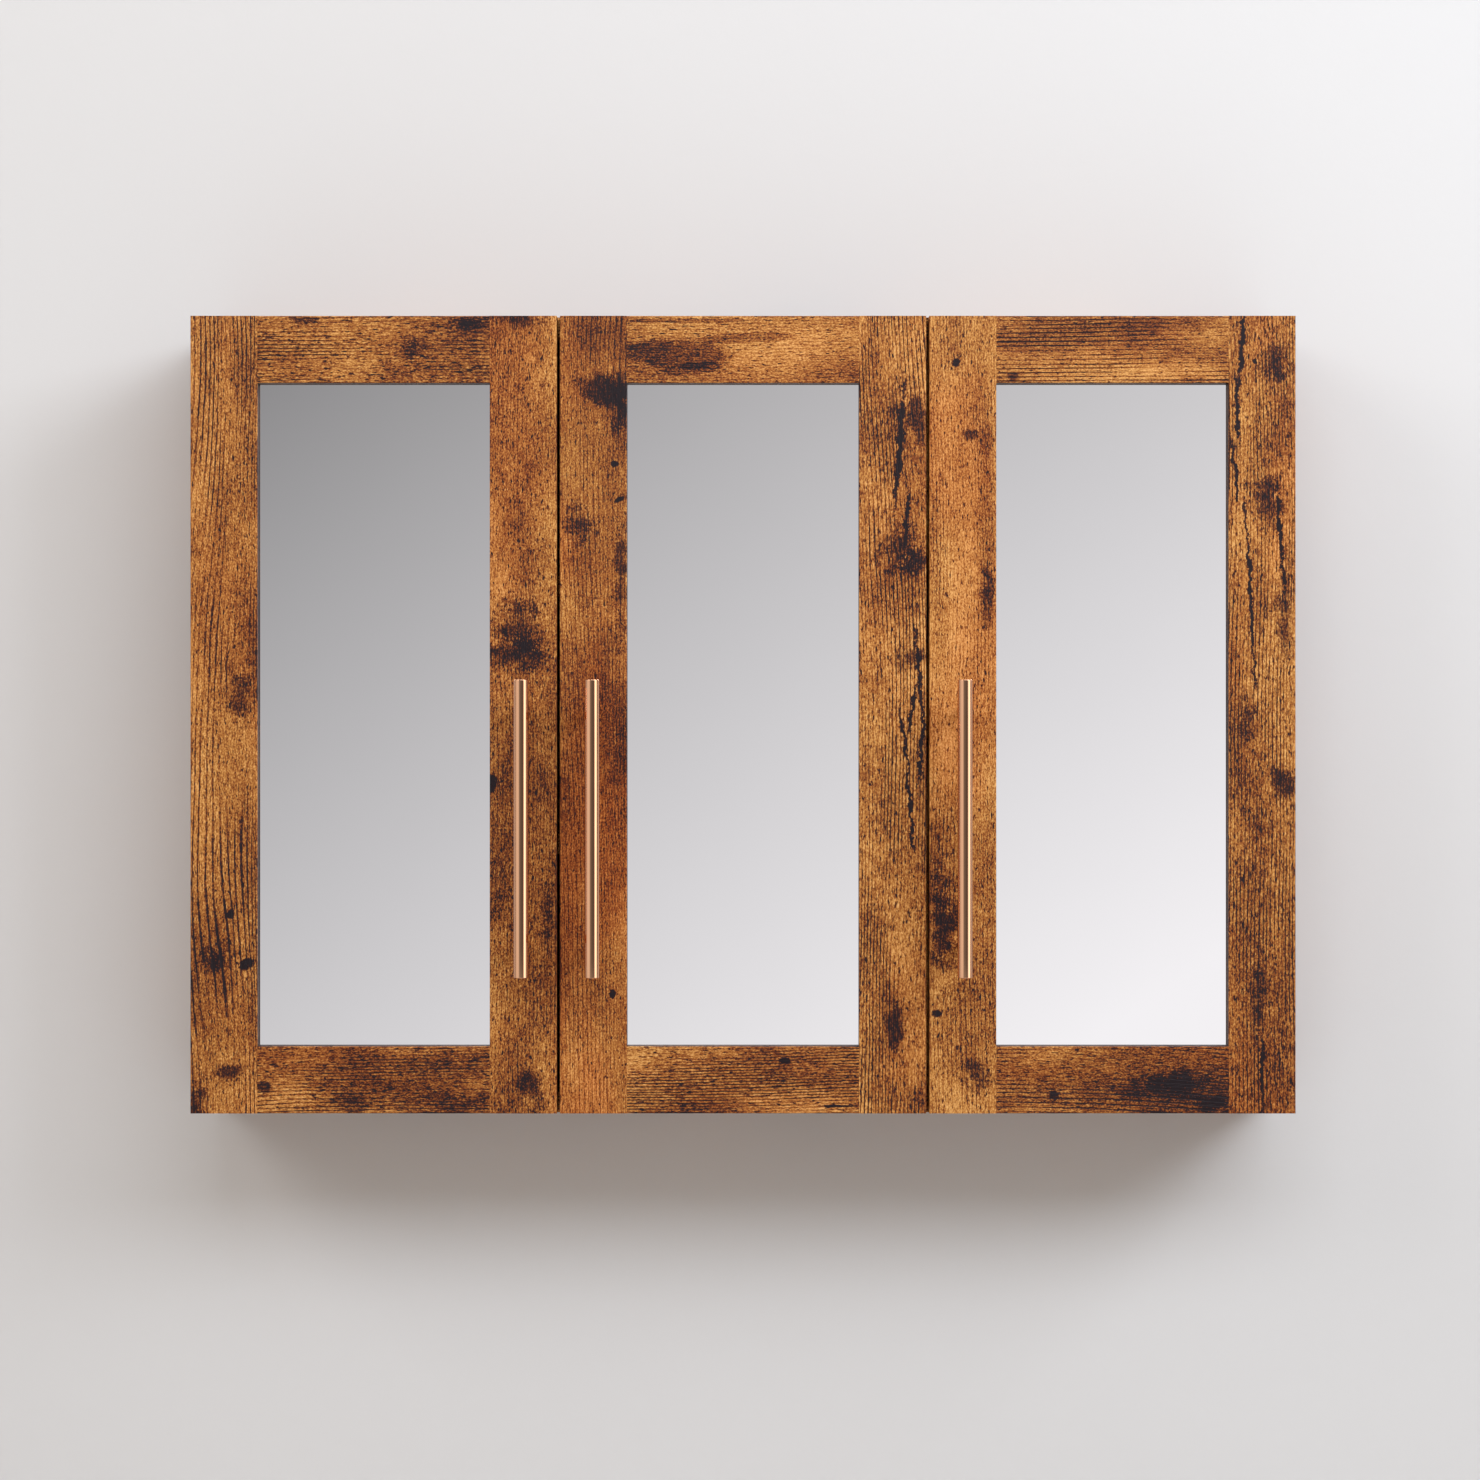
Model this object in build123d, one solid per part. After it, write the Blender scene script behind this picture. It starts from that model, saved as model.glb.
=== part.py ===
from build123d import *
import math
import os

# Wall-hung mirror cabinet with three framed mirror doors. Millimetres.
# +X runs along the width, the doors face -Y, +Z is up. The origin is on the wall plane,
# midway between the two screw holes of the hanging rail.

# Cabinet box
cabinet_width = 900.0
cabinet_height = 650.0
carcass_depth = 130.0
board_thickness = 16.0
panel_edge_round = 0.8

# Back panel, and the rails behind it that take the wall screws
back_thickness = 3.0
back_groove_depth = 6.0
back_clearance = 0.1
rail_height = 70.0
rail_thickness = 16.0
wall_screw_spacing = 700.0
wall_screw_radius = 2.5

# Doors
door_thickness = 18.0
door_air_gap = 2.0
door_reveal = 1.0
door_spacing = 2.5
frame_width = 54.5
frame_edge_round = 1.0
rebate_width = 8.0
mirror_thickness = 4.0
mirror_edge_clearance = 0.5
backing_thickness = 5.0
tenon_length = 12.0
tenon_thickness = 6.0
tenon_shoulder = 8.0
tenon_root = 1.0
joint_clearance = 0.1

# Clips that hold the mirror and its backing board in the frame
clip_length = 26.0
clip_width = 11.0
clip_thickness = 1.0
clip_overhang = 7.0
clip_pitch = 280.0
clip_screw_radius = 1.6
clip_screw_depth = 8.0
clip_head_radius = 3.0
clip_head_height = 1.2

# Bar handles
bar_radius = 6.0
bar_length = 240.0
bar_projection = 35.0
bar_end_chamfer = 0.5
post_spacing = 192.0
post_radius = 4.5
post_seat_depth = 4.0
post_clearance = 0.05
handle_drop = 92.0
handle_screw_radius = 2.0
handle_screw_clearance = 0.25
handle_thread_depth = 10.0
handle_head_radius = 4.0
handle_head_height = 2.2

# Concealed hinges. u runs inward from the door's hinge edge, v outward from the front
# edge of the box, and w up from the middle of the hinge.
hinge_end_distance = 90.0
swing_axis = (6.3, 15.0)
arm_pivot = (32.0, 6.8)
link_elbow = (19.7, 10.0)
cup_pivot = (9.5, 8.0)
door_opening_degrees = 95.0
cup_radius = 17.5
cup_wall = 1.0
cup_depth = 13.0
cup_edge_distance = 3.0
cup_clearance = 0.05
flange_thickness = 1.0
flange_ring = 0.7
flange_length = 60.0
flange_width = 13.0
cup_screw_spacing = 48.0
cup_screw_offset = 6.0
cup_screw_radius = 1.75
cup_screw_depth = 10.0
cup_head_radius = 3.4
cup_head_height = 1.5
hinge_pin_radius = 1.2
running_clearance = 0.05
link_width = 7.0
link_thickness = 2.0
link_eye_radius = 2.35
slot_side_clearance = 0.65
slot_end_clearance = 0.2
arm_side_clearance = 0.2
arm_wall = 1.4
arm_nose_radius = 3.2
arm_seat_u = 27.5
arm_height = 8.4
arm_rear_v = -72.0
arm_web_front_v = -3.0
plate_screw_spacing = 32.0
plate_front_distance = 37.0
plate_wing_length = 44.0
plate_wing_width = 12.0
plate_wing_thickness = 2.0
plate_base_width = 14.0
plate_front_v = -12.0
plate_rear_v = -64.0
plate_rib_clearance = 0.1
plate_screw_radius = 2.4
plate_screw_depth = 11.0
plate_head_radius = 3.6
plate_head_height = 2.0

# Shelves and their pins
shelves_per_bay = 2
shelf_thickness = 16.0
shelf_end_clearance = 1.0
shelf_back_clearance = 2.0
shelf_front_setback = 10.0
pin_radius = 2.5
pin_seat_depth = 8.0
pin_reach = 8.0
pin_clearance = 0.05
pin_hole_depth = 10.0
pin_hole_pitch = 32.0
pin_edge_distance = 25.0

# Cam fittings and dowels that join the box
cam_radius = 7.5
cam_height = 12.5
cam_clearance = 0.1
cam_end_distance = 34.0
cam_front_distance = 30.0
cam_rear_distance = 34.0
bolt_radius = 3.0
bolt_anchor_depth = 11.0
bolt_clearance = 0.2
dowel_radius = 4.0
dowel_length = 30.0
dowel_clearance = 0.1
dowel_anchor_depth = 11.0

# Soft stops between the doors and the box
bumper_radius = 4.0
bumper_height = 1.8
bumper_inset = 12.0

# Sizes that follow from the ones above
half_width = cabinet_width / 2
top_z = board_thickness + rail_height / 2
bottom_z = top_z - cabinet_height
middle_z = (top_z + bottom_z) / 2
inner_top_z = top_z - board_thickness
inner_bottom_z = bottom_z + board_thickness
inner_half_width = half_width - board_thickness
front_y = -carcass_depth
back_panel_rear_y = -rail_thickness - back_clearance
back_panel_front_y = back_panel_rear_y - back_thickness
groove_front_y = back_panel_front_y - back_clearance
door_back_y = front_y - door_air_gap
door_front_y = door_back_y - door_thickness
door_bottom_z = bottom_z + door_reveal
door_top_z = top_z - door_reveal
door_count = 3
door_width = (cabinet_width - 2 * door_reveal - (door_count - 1) * door_spacing) / door_count
door_pitch = door_width + door_spacing
# the divider stands behind the middle of the gap between the second and the third door
divider_x = -half_width + door_reveal + 2 * door_pitch - door_spacing / 2
divider_left_x = divider_x - board_thickness / 2
divider_right_x = divider_x + board_thickness / 2
rebate_depth = mirror_thickness + backing_thickness
cup_centre_u = cup_edge_distance + cup_radius
cup_floor_v = door_air_gap + cup_depth - cup_wall
handle_z = middle_z - handle_drop
bar_y = door_front_y - bar_projection + bar_radius

# How far a cutting shape runs past the face that it starts from
overshoot = 1.0


def block(x0, x1, y0, y1, z0, z1):
    """A box between two corners."""
    size = (abs(x1 - x0), abs(y1 - y0), abs(z1 - z0))
    return Pos((x0 + x1) / 2, (y0 + y1) / 2, (z0 + z1) / 2) * Box(*size)


def rod(axis, radius, start, end, a, b):
    """A cylinder from start to end along an axis, at a and b on the other two axes."""
    middle, length = (start + end) / 2, abs(end - start)
    if axis == "x":
        return Pos(middle, a, b) * Rot(0, 90, 0) * Cylinder(radius, length)
    if axis == "y":
        return Pos(a, middle, b) * Rot(90, 0, 0) * Cylinder(radius, length)
    return Pos(a, b, middle) * Cylinder(radius, length)


def edge_cutter(x_out, y_out, z0, z1, x, y, radius):
    """What rounds the vertical edge at x, y of a block whose material lies inside it."""
    corner = block(x, x - x_out * radius, y, y - y_out * radius, z0, z1)
    axis_x, axis_y = x - x_out * radius, y - y_out * radius
    return corner - rod("z", radius, z0 - overshoot, z1 + overshoot, axis_x, axis_y)


def rail_edge_cutter(y_out, z_out, x0, x1, y, z, radius):
    """The same for an edge that runs along X."""
    corner = block(x0, x1, y, y - y_out * radius, z, z - z_out * radius)
    axis_y, axis_z = y - y_out * radius, z - z_out * radius
    return corner - rod("x", radius, x0 - overshoot, x1 + overshoot, axis_y, axis_z)


def save(name, shapes):
    """Write one node from a shape or a list of shapes."""
    solids = []
    for shape in shapes if isinstance(shapes, list) else [shapes]:
        solids += shape.solids()
    export_step(Compound(children=solids) if len(solids) > 1 else solids[0], f"parts/{name}.step")


# The three doors: name, place in the row, and the side that the hinges are on
doors = [
    {"name": "left_door", "index": 0, "hinge": -1},
    {"name": "middle_door", "index": 1, "hinge": 1},
    {"name": "right_door", "index": 2, "hinge": 1},
]
for door in doors:
    door["x0"] = -half_width + door_reveal + door["index"] * door_pitch
    door["x1"] = door["x0"] + door_width
    door["edge_x"] = door["x0"] if door["hinge"] < 0 else door["x1"]
    handle_edge_x = door["x1"] if door["hinge"] < 0 else door["x0"]
    door["handle_x"] = handle_edge_x + door["hinge"] * frame_width / 2
    door["bumper_x"] = handle_edge_x + door["hinge"] * bumper_inset
# The face of the side panel or divider that each door's hinge plates are screwed to
doors[0]["panel_x"] = -inner_half_width
doors[1]["panel_x"] = divider_left_x
doors[2]["panel_x"] = inner_half_width
hinge_heights = [door_bottom_z + hinge_end_distance, door_top_z - hinge_end_distance]


def panel_u(door):
    """How far inward from the door's hinge edge its panel's face lies."""
    return abs(door["panel_x"] - door["edge_x"])


def place_hinge(shape, door, height):
    """Move a piece from the hinge's own axes (u, -v, w) to its place on a door."""
    if door["hinge"] > 0:
        shape = mirror(shape, about=Plane.YZ)
    return Pos(door["edge_x"], front_y, height) * shape


def at_hinges(make, door):
    """One copy of a hinge piece for each of a door's two hinges."""
    return [place_hinge(make(door), door, height) for height in hinge_heights]


def flat_link(p, q, width):
    """A round-ended strip from p to q in the hinge's (u, v) plane."""
    angle = math.degrees(math.atan2(-(q[1] - p[1]), q[0] - p[0]))
    middle = Pos((p[0] + q[0]) / 2, -(p[1] + q[1]) / 2)
    return middle * Rot(0, 0, angle) * SlotCenterToCenter(math.dist(p, q), width)


def hinge_disc(centre, radius):
    """A circle in the hinge's (u, v) plane."""
    return Pos(centre[0], -centre[1]) * Circle(radius)


def turned(point, centre, degrees):
    """A (u, v) point after a turn about a centre, positive as the door opens."""
    c, s = math.cos(math.radians(degrees)), math.sin(math.radians(degrees))
    du, dv = point[0] - centre[0], point[1] - centre[1]
    return (centre[0] + c * du - s * dv, centre[1] + s * du + c * dv)


# How far the cup's pin comes from the arm's pin over the swing, which sets the slot
swing_samples = 20
swing_steps = [door_opening_degrees * i / swing_samples for i in range(swing_samples + 1)]
pin_distances = [math.dist(arm_pivot, turned(cup_pivot, swing_axis, a)) for a in swing_steps]
slot_near = min(pin_distances) - slot_end_clearance
slot_far = max(pin_distances) + slot_end_clearance


def link_angle(degrees):
    """The direction from the arm's pin to the cup's pin with the door opened so far."""
    pin = turned(cup_pivot, swing_axis, degrees)
    return math.atan2(pin[1] - arm_pivot[1], pin[0] - arm_pivot[0])


link_ratio = math.degrees(link_angle(door_opening_degrees) - link_angle(0)) / door_opening_degrees


def cup_bore(door):
    """The blind hole in the stile that takes the hinge cup."""
    floor_y = -door_air_gap - cup_depth - cup_clearance
    return rod("y", cup_radius + cup_clearance, -door_air_gap + overshoot, floor_y, cup_centre_u, 0)


def cup_screw_place(side):
    """u and w of a cup screw."""
    return cup_centre_u + cup_screw_offset, side * cup_screw_spacing / 2


def hinge_cup(door):
    """Pressed cup with its screw flange and the riveted pin that the link hangs on."""
    rim_y, floor_y = -door_air_gap, -cup_floor_v
    face_y = rim_y + flange_thickness
    u = cup_centre_u + cup_screw_offset
    flange = Pos(u, 0) * Rot(0, 0, 90) * SlotOverall(flange_length, flange_width)
    flange += Pos(cup_centre_u, 0) * Circle(cup_radius + flange_ring)
    # the flange is drawn in the (u, w) plane, then stood up against the door's back
    cup = Pos(0, rim_y, 0) * Rot(90, 0, 0) * extrude(flange, -flange_thickness)
    cup += rod("y", cup_radius, rim_y, floor_y - cup_wall, cup_centre_u, 0)
    cup -= rod("y", cup_radius - cup_wall, face_y + overshoot, floor_y, cup_centre_u, 0)
    pin = rod("z", hinge_pin_radius, -cup_radius, cup_radius, cup_pivot[0], -cup_pivot[1])
    cup += pin & rod("y", cup_radius - cup_wall / 2, rim_y, floor_y, cup_centre_u, 0)
    for side in (-1, 1):
        u, w = cup_screw_place(side)
        cup -= rod("y", cup_screw_radius + running_clearance, face_y + overshoot,
                   rim_y - overshoot, u, w)
    return cup


def cup_screws(door):
    """The two wood screws of one cup."""
    face_y = -door_air_gap + flange_thickness
    screws = []
    for side in (-1, 1):
        u, w = cup_screw_place(side)
        screw = rod("y", cup_screw_radius, face_y, -door_air_gap - cup_screw_depth, u, w)
        screw += rod("y", cup_head_radius, face_y, face_y + cup_head_height, u, w)
        screws.append(screw)
    return Compound(children=screws)


def link_point(distance):
    """A point at that distance from the arm's pin towards the cup's pin, door closed."""
    direction = link_angle(0)
    return (arm_pivot[0] + distance * math.cos(direction),
            arm_pivot[1] + distance * math.sin(direction))


def hinge_link(door):
    """Bent link: an eye on the arm's pin, and a slot on the cup's pin."""
    slot_start, slot_end = link_point(slot_near), link_point(slot_far)
    slot_half = hinge_pin_radius + slot_side_clearance
    shape = hinge_disc(arm_pivot, link_eye_radius)
    shape += flat_link(arm_pivot, link_elbow, link_thickness)
    shape += flat_link(link_elbow, slot_start, link_thickness)
    shape += flat_link(slot_start, slot_end, 2 * link_eye_radius)
    shape -= hinge_disc(arm_pivot, hinge_pin_radius + running_clearance)
    shape -= flat_link(slot_start, slot_end, 2 * slot_half)
    return extrude(shape, link_width / 2, both=True)


arm_inner_half = link_width / 2 + arm_side_clearance
arm_outer_half = arm_inner_half + arm_wall
arm_top_u = arm_seat_u + arm_height


def hinge_arm(door):
    """Channel that clips over the mounting plate, with the link's pin in its nose."""
    nose = arm_pivot[0]
    outline = [
        (arm_seat_u, arm_rear_v), (arm_top_u, arm_rear_v), (arm_top_u, arm_web_front_v),
        (nose + arm_nose_radius, arm_pivot[1]), (nose - arm_nose_radius, arm_pivot[1]),
        (arm_seat_u, arm_web_front_v),
    ]
    cheek = make_face(Polyline([(u, -v) for u, v in outline], close=True))
    cheek += hinge_disc(arm_pivot, arm_nose_radius)
    arm = extrude(cheek, arm_outer_half, both=True)
    # the channel is open towards the panel, and its web ends short of the nose
    open_u = arm_seat_u - overshoot
    nose_y = -arm_pivot[1] - arm_nose_radius - overshoot
    arm -= block(open_u, arm_top_u - arm_wall, -arm_rear_v + overshoot, nose_y,
                 -arm_inner_half, arm_inner_half)
    arm -= block(open_u, arm_top_u + overshoot, -arm_web_front_v, nose_y,
                 -arm_inner_half, arm_inner_half)
    arm += rod("z", hinge_pin_radius, -arm_outer_half, arm_outer_half, nose, -arm_pivot[1])
    return arm


def mounting_plate(door):
    """Base that is screwed to the panel, with the rib that the arm clips over."""
    face = panel_u(door)
    centre_y = plate_front_distance
    plate = block(face, arm_seat_u, -plate_front_v, -plate_rear_v,
                  -plate_base_width / 2, plate_base_width / 2)
    plate += block(face, face + plate_wing_thickness, centre_y - plate_wing_width / 2,
                   centre_y + plate_wing_width / 2, -plate_wing_length / 2, plate_wing_length / 2)
    rib_half = arm_inner_half - plate_rib_clearance
    plate += block(arm_seat_u, arm_top_u - arm_wall - plate_rib_clearance, -plate_front_v,
                   -plate_rear_v, -rib_half, rib_half)
    for side in (-1, 1):
        w = side * plate_screw_spacing / 2
        plate -= rod("x", plate_screw_radius + running_clearance, face - overshoot,
                     face + plate_wing_thickness + overshoot, centre_y, w)
    return plate


def plate_screws(door):
    """The two screws of one mounting plate."""
    face = panel_u(door)
    head = face + plate_wing_thickness
    screws = []
    for side in (-1, 1):
        w = side * plate_screw_spacing / 2
        screw = rod("x", plate_screw_radius, face - plate_screw_depth, head, plate_front_distance, w)
        screw += rod("x", plate_head_radius, head, head + plate_head_height, plate_front_distance, w)
        screws.append(screw)
    return Compound(children=screws)


def plate_screw_holes(door):
    """The holes in the panel for one mounting plate's screws."""
    face = panel_u(door)
    radius = plate_screw_radius + running_clearance
    return Compound(children=[
        rod("x", radius, face - plate_screw_depth - overshoot, face + overshoot,
            plate_front_distance, side * plate_screw_spacing / 2)
        for side in (-1, 1)
    ])


# The heights of a handle's two posts
post_heights = [handle_z + side * post_spacing / 2 for side in (-1, 1)]


def handle_hole(door, height):
    """The clearance hole through the stile for one handle screw."""
    return rod("y", handle_screw_radius + handle_screw_clearance, door_back_y + overshoot,
               door_front_y - overshoot, door["handle_x"], height)


def clip_places(door):
    """x, z and the way out of the opening of each mirror clip on a door's back."""
    inner_x0, inner_x1 = door["x0"] + frame_width, door["x1"] - frame_width
    inner_z0, inner_z1 = door_bottom_z + frame_width, door_top_z - frame_width
    middle_x = (inner_x0 + inner_x1) / 2
    places = []
    for z in (middle_z - clip_pitch / 2, middle_z + clip_pitch / 2):
        places += [(inner_x0, z, (-1, 0)), (inner_x1, z, (1, 0))]
    places += [(middle_x, inner_z0, (0, -1)), (middle_x, inner_z1, (0, 1))]
    return places


def clip_shapes(place):
    """A flat clip over the backing board, its screw, and the screw's hole in the frame."""
    x, z, (out_x, out_z) = place
    x, z = x + out_x * rebate_width, z + out_z * rebate_width
    reach = clip_length - clip_overhang
    y0, y1 = door_back_y, door_back_y + clip_thickness
    if out_x:
        plate = block(x - out_x * clip_overhang, x + out_x * reach, y0, y1,
                      z - clip_width / 2, z + clip_width / 2)
    else:
        plate = block(x - clip_width / 2, x + clip_width / 2, y0, y1,
                      z - out_z * clip_overhang, z + out_z * reach)
    screw_x, screw_z = x + out_x * reach / 2, z + out_z * reach / 2
    hole_radius = clip_screw_radius + running_clearance
    plate -= rod("y", hole_radius, y0 - overshoot, y1 + overshoot, screw_x, screw_z)
    screw = rod("y", clip_screw_radius, y1, y0 - clip_screw_depth, screw_x, screw_z)
    screw += rod("y", clip_head_radius, y1, y1 + clip_head_height, screw_x, screw_z)
    hole = rod("y", hole_radius, y0 + overshoot, y0 - clip_screw_depth - overshoot,
               screw_x, screw_z)
    return plate, screw, hole


def stile(door, side):
    """An upright of the door frame; side is -1 for the left one and 1 for the right."""
    outer_x = door["x0"] if side < 0 else door["x1"]
    inner_x = outer_x - side * frame_width
    body = block(outer_x, inner_x, door_back_y, door_front_y, door_bottom_z, door_top_z)
    body -= edge_cutter(side, -1, door_bottom_z - overshoot, door_top_z + overshoot,
                        outer_x, door_front_y, frame_edge_round)
    body -= edge_cutter(-side, -1, door_bottom_z + frame_width, door_top_z - frame_width,
                        inner_x, door_front_y, frame_edge_round)
    body -= block(inner_x + side * rebate_width, inner_x - side * overshoot,
                  door_back_y + overshoot, door_back_y - rebate_depth,
                  door_bottom_z + frame_width - rebate_width,
                  door_top_z - frame_width + rebate_width)
    for z0 in (door_bottom_z, door_top_z - frame_width):
        body -= tenon(door, side, z0, joint_clearance)
    if side == door["hinge"]:
        for height in hinge_heights:
            body -= place_hinge(cup_bore(door), door, height)
            for screw_side in (-1, 1):
                u, w = cup_screw_place(screw_side)
                hole = rod("y", cup_screw_radius + running_clearance, -door_air_gap + overshoot,
                           -door_air_gap - cup_screw_depth - overshoot, u, w)
                body -= place_hinge(hole, door, height)
    else:
        for height in post_heights:
            body -= handle_hole(door, height)
    for place in clip_places(door):
        if place[2][0] == side:
            body -= clip_shapes(place)[2]
    return body


def tenon(door, side, z0, clearance):
    """The tongue of a rail, or with clearance the mortise that takes it."""
    shoulder_x = door["x0"] + frame_width if side < 0 else door["x1"] - frame_width
    # the tongue stands in the solid wood in front of the mirror's rebate
    y0 = door_back_y - rebate_depth - joint_clearance
    y1 = y0 - tenon_thickness
    root_x = shoulder_x if clearance else shoulder_x - side * tenon_root
    return block(root_x, shoulder_x + side * (tenon_length + clearance), y0 + clearance,
                 y1 - clearance, z0 + tenon_shoulder - clearance,
                 z0 + frame_width - tenon_shoulder + clearance)


def rail(door, upper):
    """A cross piece of the door frame, with a tenon at each end."""
    x0, x1 = door["x0"] + frame_width, door["x1"] - frame_width
    z0 = door_top_z - frame_width if upper else door_bottom_z
    z1 = z0 + frame_width
    inner_z, outer_z, out = (z0, z1, 1) if upper else (z1, z0, -1)
    body = block(x0, x1, door_back_y, door_front_y, z0, z1)
    past_x0, past_x1 = x0 - overshoot, x1 + overshoot
    body -= rail_edge_cutter(-1, out, past_x0, past_x1, door_front_y, outer_z, frame_edge_round)
    body -= rail_edge_cutter(-1, -out, past_x0, past_x1, door_front_y, inner_z, frame_edge_round)
    body -= block(past_x0, past_x1, door_back_y + overshoot, door_back_y - rebate_depth,
                  inner_z - out * overshoot, inner_z + out * rebate_width)
    for side in (-1, 1):
        body += tenon(door, side, z0, 0)
    for place in clip_places(door):
        if place[2][1] == out:
            body -= clip_shapes(place)[2]
    return body


def make_door(door):
    """Every node of one door, and of the links on its hinges."""
    name = door["name"]
    save(f"{name}_hinge_stile", stile(door, door["hinge"]))
    save(f"{name}_handle_stile", stile(door, -door["hinge"]))
    save(f"{name}_top_rail", rail(door, True))
    save(f"{name}_bottom_rail", rail(door, False))

    overlap = rebate_width - mirror_edge_clearance
    x0, x1 = door["x0"] + frame_width - overlap, door["x1"] - frame_width + overlap
    z0, z1 = door_bottom_z + frame_width - overlap, door_top_z - frame_width + overlap
    mirror_front_y = door_back_y - rebate_depth
    mirror_back_y = mirror_front_y + mirror_thickness
    save(f"{name}_mirror", block(x0, x1, mirror_front_y, mirror_back_y, z0, z1))
    save(f"{name}_backing_board", block(x0, x1, mirror_back_y, door_back_y, z0, z1))
    clips = [clip_shapes(place) for place in clip_places(door)]
    save(f"{name}_mirror_clips", [plate for plate, screw, hole in clips]
         + [screw for plate, screw, hole in clips])

    x = door["handle_x"]
    bar = rod("z", bar_radius, handle_z - bar_length / 2, handle_z + bar_length / 2, x, bar_y)
    bar = chamfer(bar.edges().filter_by(GeomType.CIRCLE), bar_end_chamfer)
    posts, screws = [], []
    for height in post_heights:
        seat_y = bar_y + bar_radius - post_seat_depth
        bar -= rod("y", post_radius + post_clearance, seat_y - post_clearance,
                   bar_y + 2 * bar_radius, x, height)
        post = rod("y", post_radius, door_front_y, seat_y, x, height)
        post -= rod("y", handle_screw_radius + post_clearance, door_front_y + overshoot,
                    door_front_y - handle_thread_depth - overshoot, x, height)
        posts.append(post)
        screw = rod("y", handle_screw_radius, door_back_y, door_front_y - handle_thread_depth,
                    x, height)
        screw += rod("y", handle_head_radius, door_back_y, door_back_y + handle_head_height,
                     x, height)
        screws.append(screw)
    save(f"{name}_handle_bar", bar)
    save(f"{name}_handle_posts", posts)
    save(f"{name}_handle_screws", screws)

    save(f"{name}_hinge_cups", at_hinges(hinge_cup, door))
    save(f"{name}_cup_screws", at_hinges(cup_screws, door))
    save(f"{name}_hinge_links", at_hinges(hinge_link, door))


# Where the box is held together: cams in the horizontal panels at the box's corners, and
# in the divider at its ends, each with a bolt into the neighbouring panel
cam_depths = [front_y + cam_front_distance, -cam_rear_distance]
dowel_y = sum(cam_depths) / 2


def corner_joints():
    """side (-1, 1) and level (-1 bottom, 1 top) of the four corners of the box."""
    return [(side, level) for side in (-1, 1) for level in (-1, 1)]


def panel_middle_z(level):
    """The mid-height of the top or the bottom panel."""
    return top_z - board_thickness / 2 if level > 0 else bottom_z + board_thickness / 2


def cam_solids(extra):
    """The cam housings, or with extra the holes for them."""
    past = overshoot if extra else 0
    cams = []
    for side, level in corner_joints():
        inner_z = inner_top_z if level > 0 else inner_bottom_z
        for y in cam_depths:
            x = side * (inner_half_width - cam_end_distance)
            cams.append(rod("z", cam_radius + extra, inner_z - level * past,
                            inner_z + level * (cam_height + extra), x, y))
    for level in (-1, 1):
        end_z = inner_top_z if level > 0 else inner_bottom_z
        for y in cam_depths:
            cams.append(rod("x", cam_radius + extra, divider_right_x + past,
                            divider_right_x - cam_height - extra, y,
                            end_z - level * cam_end_distance))
    return cams


def bolt_solids(extra):
    """The cam bolts, or with extra the holes for them, from panel to cam."""
    bolts = []
    stop = cam_end_distance - cam_radius - (cam_clearance - extra)
    for side, level in corner_joints():
        for y in cam_depths:
            bolts.append(rod("x", bolt_radius + extra,
                             side * (inner_half_width + bolt_anchor_depth + extra),
                             side * (inner_half_width - stop), y, panel_middle_z(level)))
    for level in (-1, 1):
        end_z = inner_top_z if level > 0 else inner_bottom_z
        for y in cam_depths:
            bolts.append(rod("z", bolt_radius + extra,
                             end_z + level * (bolt_anchor_depth + extra),
                             end_z - level * stop, divider_x, y))
    return bolts


def dowel_solids(extra):
    """The beech dowels, or with extra the holes for them."""
    dowels = []
    inward = dowel_length - dowel_anchor_depth
    for side, level in corner_joints():
        dowels.append(rod("x", dowel_radius + extra,
                          side * (inner_half_width + dowel_anchor_depth + extra),
                          side * (inner_half_width - inward - extra), dowel_y,
                          panel_middle_z(level)))
    for level in (-1, 1):
        end_z = inner_top_z if level > 0 else inner_bottom_z
        dowels.append(rod("z", dowel_radius + extra,
                          end_z + level * (dowel_anchor_depth + extra),
                          end_z - level * (inward + extra), divider_x, dowel_y))
    return dowels


# Bays between the side panels and the divider, and the shelves in them
bays = [
    {"name": "wide", "x0": -inner_half_width, "x1": divider_left_x},
    {"name": "narrow", "x0": divider_right_x, "x1": inner_half_width},
]
bay_height = inner_top_z - inner_bottom_z
shelf_space = (bay_height - shelves_per_bay * shelf_thickness) / (shelves_per_bay + 1)
shelf_bottoms = [inner_bottom_z + (i + 1) * shelf_space + i * shelf_thickness
                 for i in range(shelves_per_bay)]
shelf_names = ["lower", "upper"]
shelf_rear_y = back_panel_front_y - shelf_back_clearance
shelf_front_y = front_y + shelf_front_setback
pin_depths = [shelf_front_y + pin_edge_distance, shelf_rear_y - pin_edge_distance]


def pin_holes():
    """Rows of three holes around each shelf, on every face that carries shelf pins."""
    holes = []
    for bay in bays:
        for face_x, into in ((bay["x0"], -1), (bay["x1"], 1)):
            for bottom in shelf_bottoms:
                for step in (-1, 0, 1):
                    for y in pin_depths:
                        height = bottom - pin_radius + step * pin_hole_pitch
                        holes.append(rod("x", pin_radius + pin_clearance,
                                         face_x - into * overshoot,
                                         face_x + into * pin_hole_depth, y, height))
    return holes


def cut(body, tools):
    """Take away only the tools that reach the body."""
    box = body.bounding_box()
    for tool in tools:
        reach = tool.bounding_box()
        if all(a < b for a, b in zip(tuple(reach.min), tuple(box.max))) and all(
                a < b for a, b in zip(tuple(box.min), tuple(reach.max))):
            body -= tool
    return body


def back_grooves():
    """What the back panel's groove takes out of the panels round it."""
    x, d = inner_half_width, back_groove_depth
    y0, y1 = back_panel_rear_y + back_clearance, groove_front_y
    return block(-x - d, x + d, y0, y1, inner_bottom_z - d, inner_top_z + d)


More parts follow.
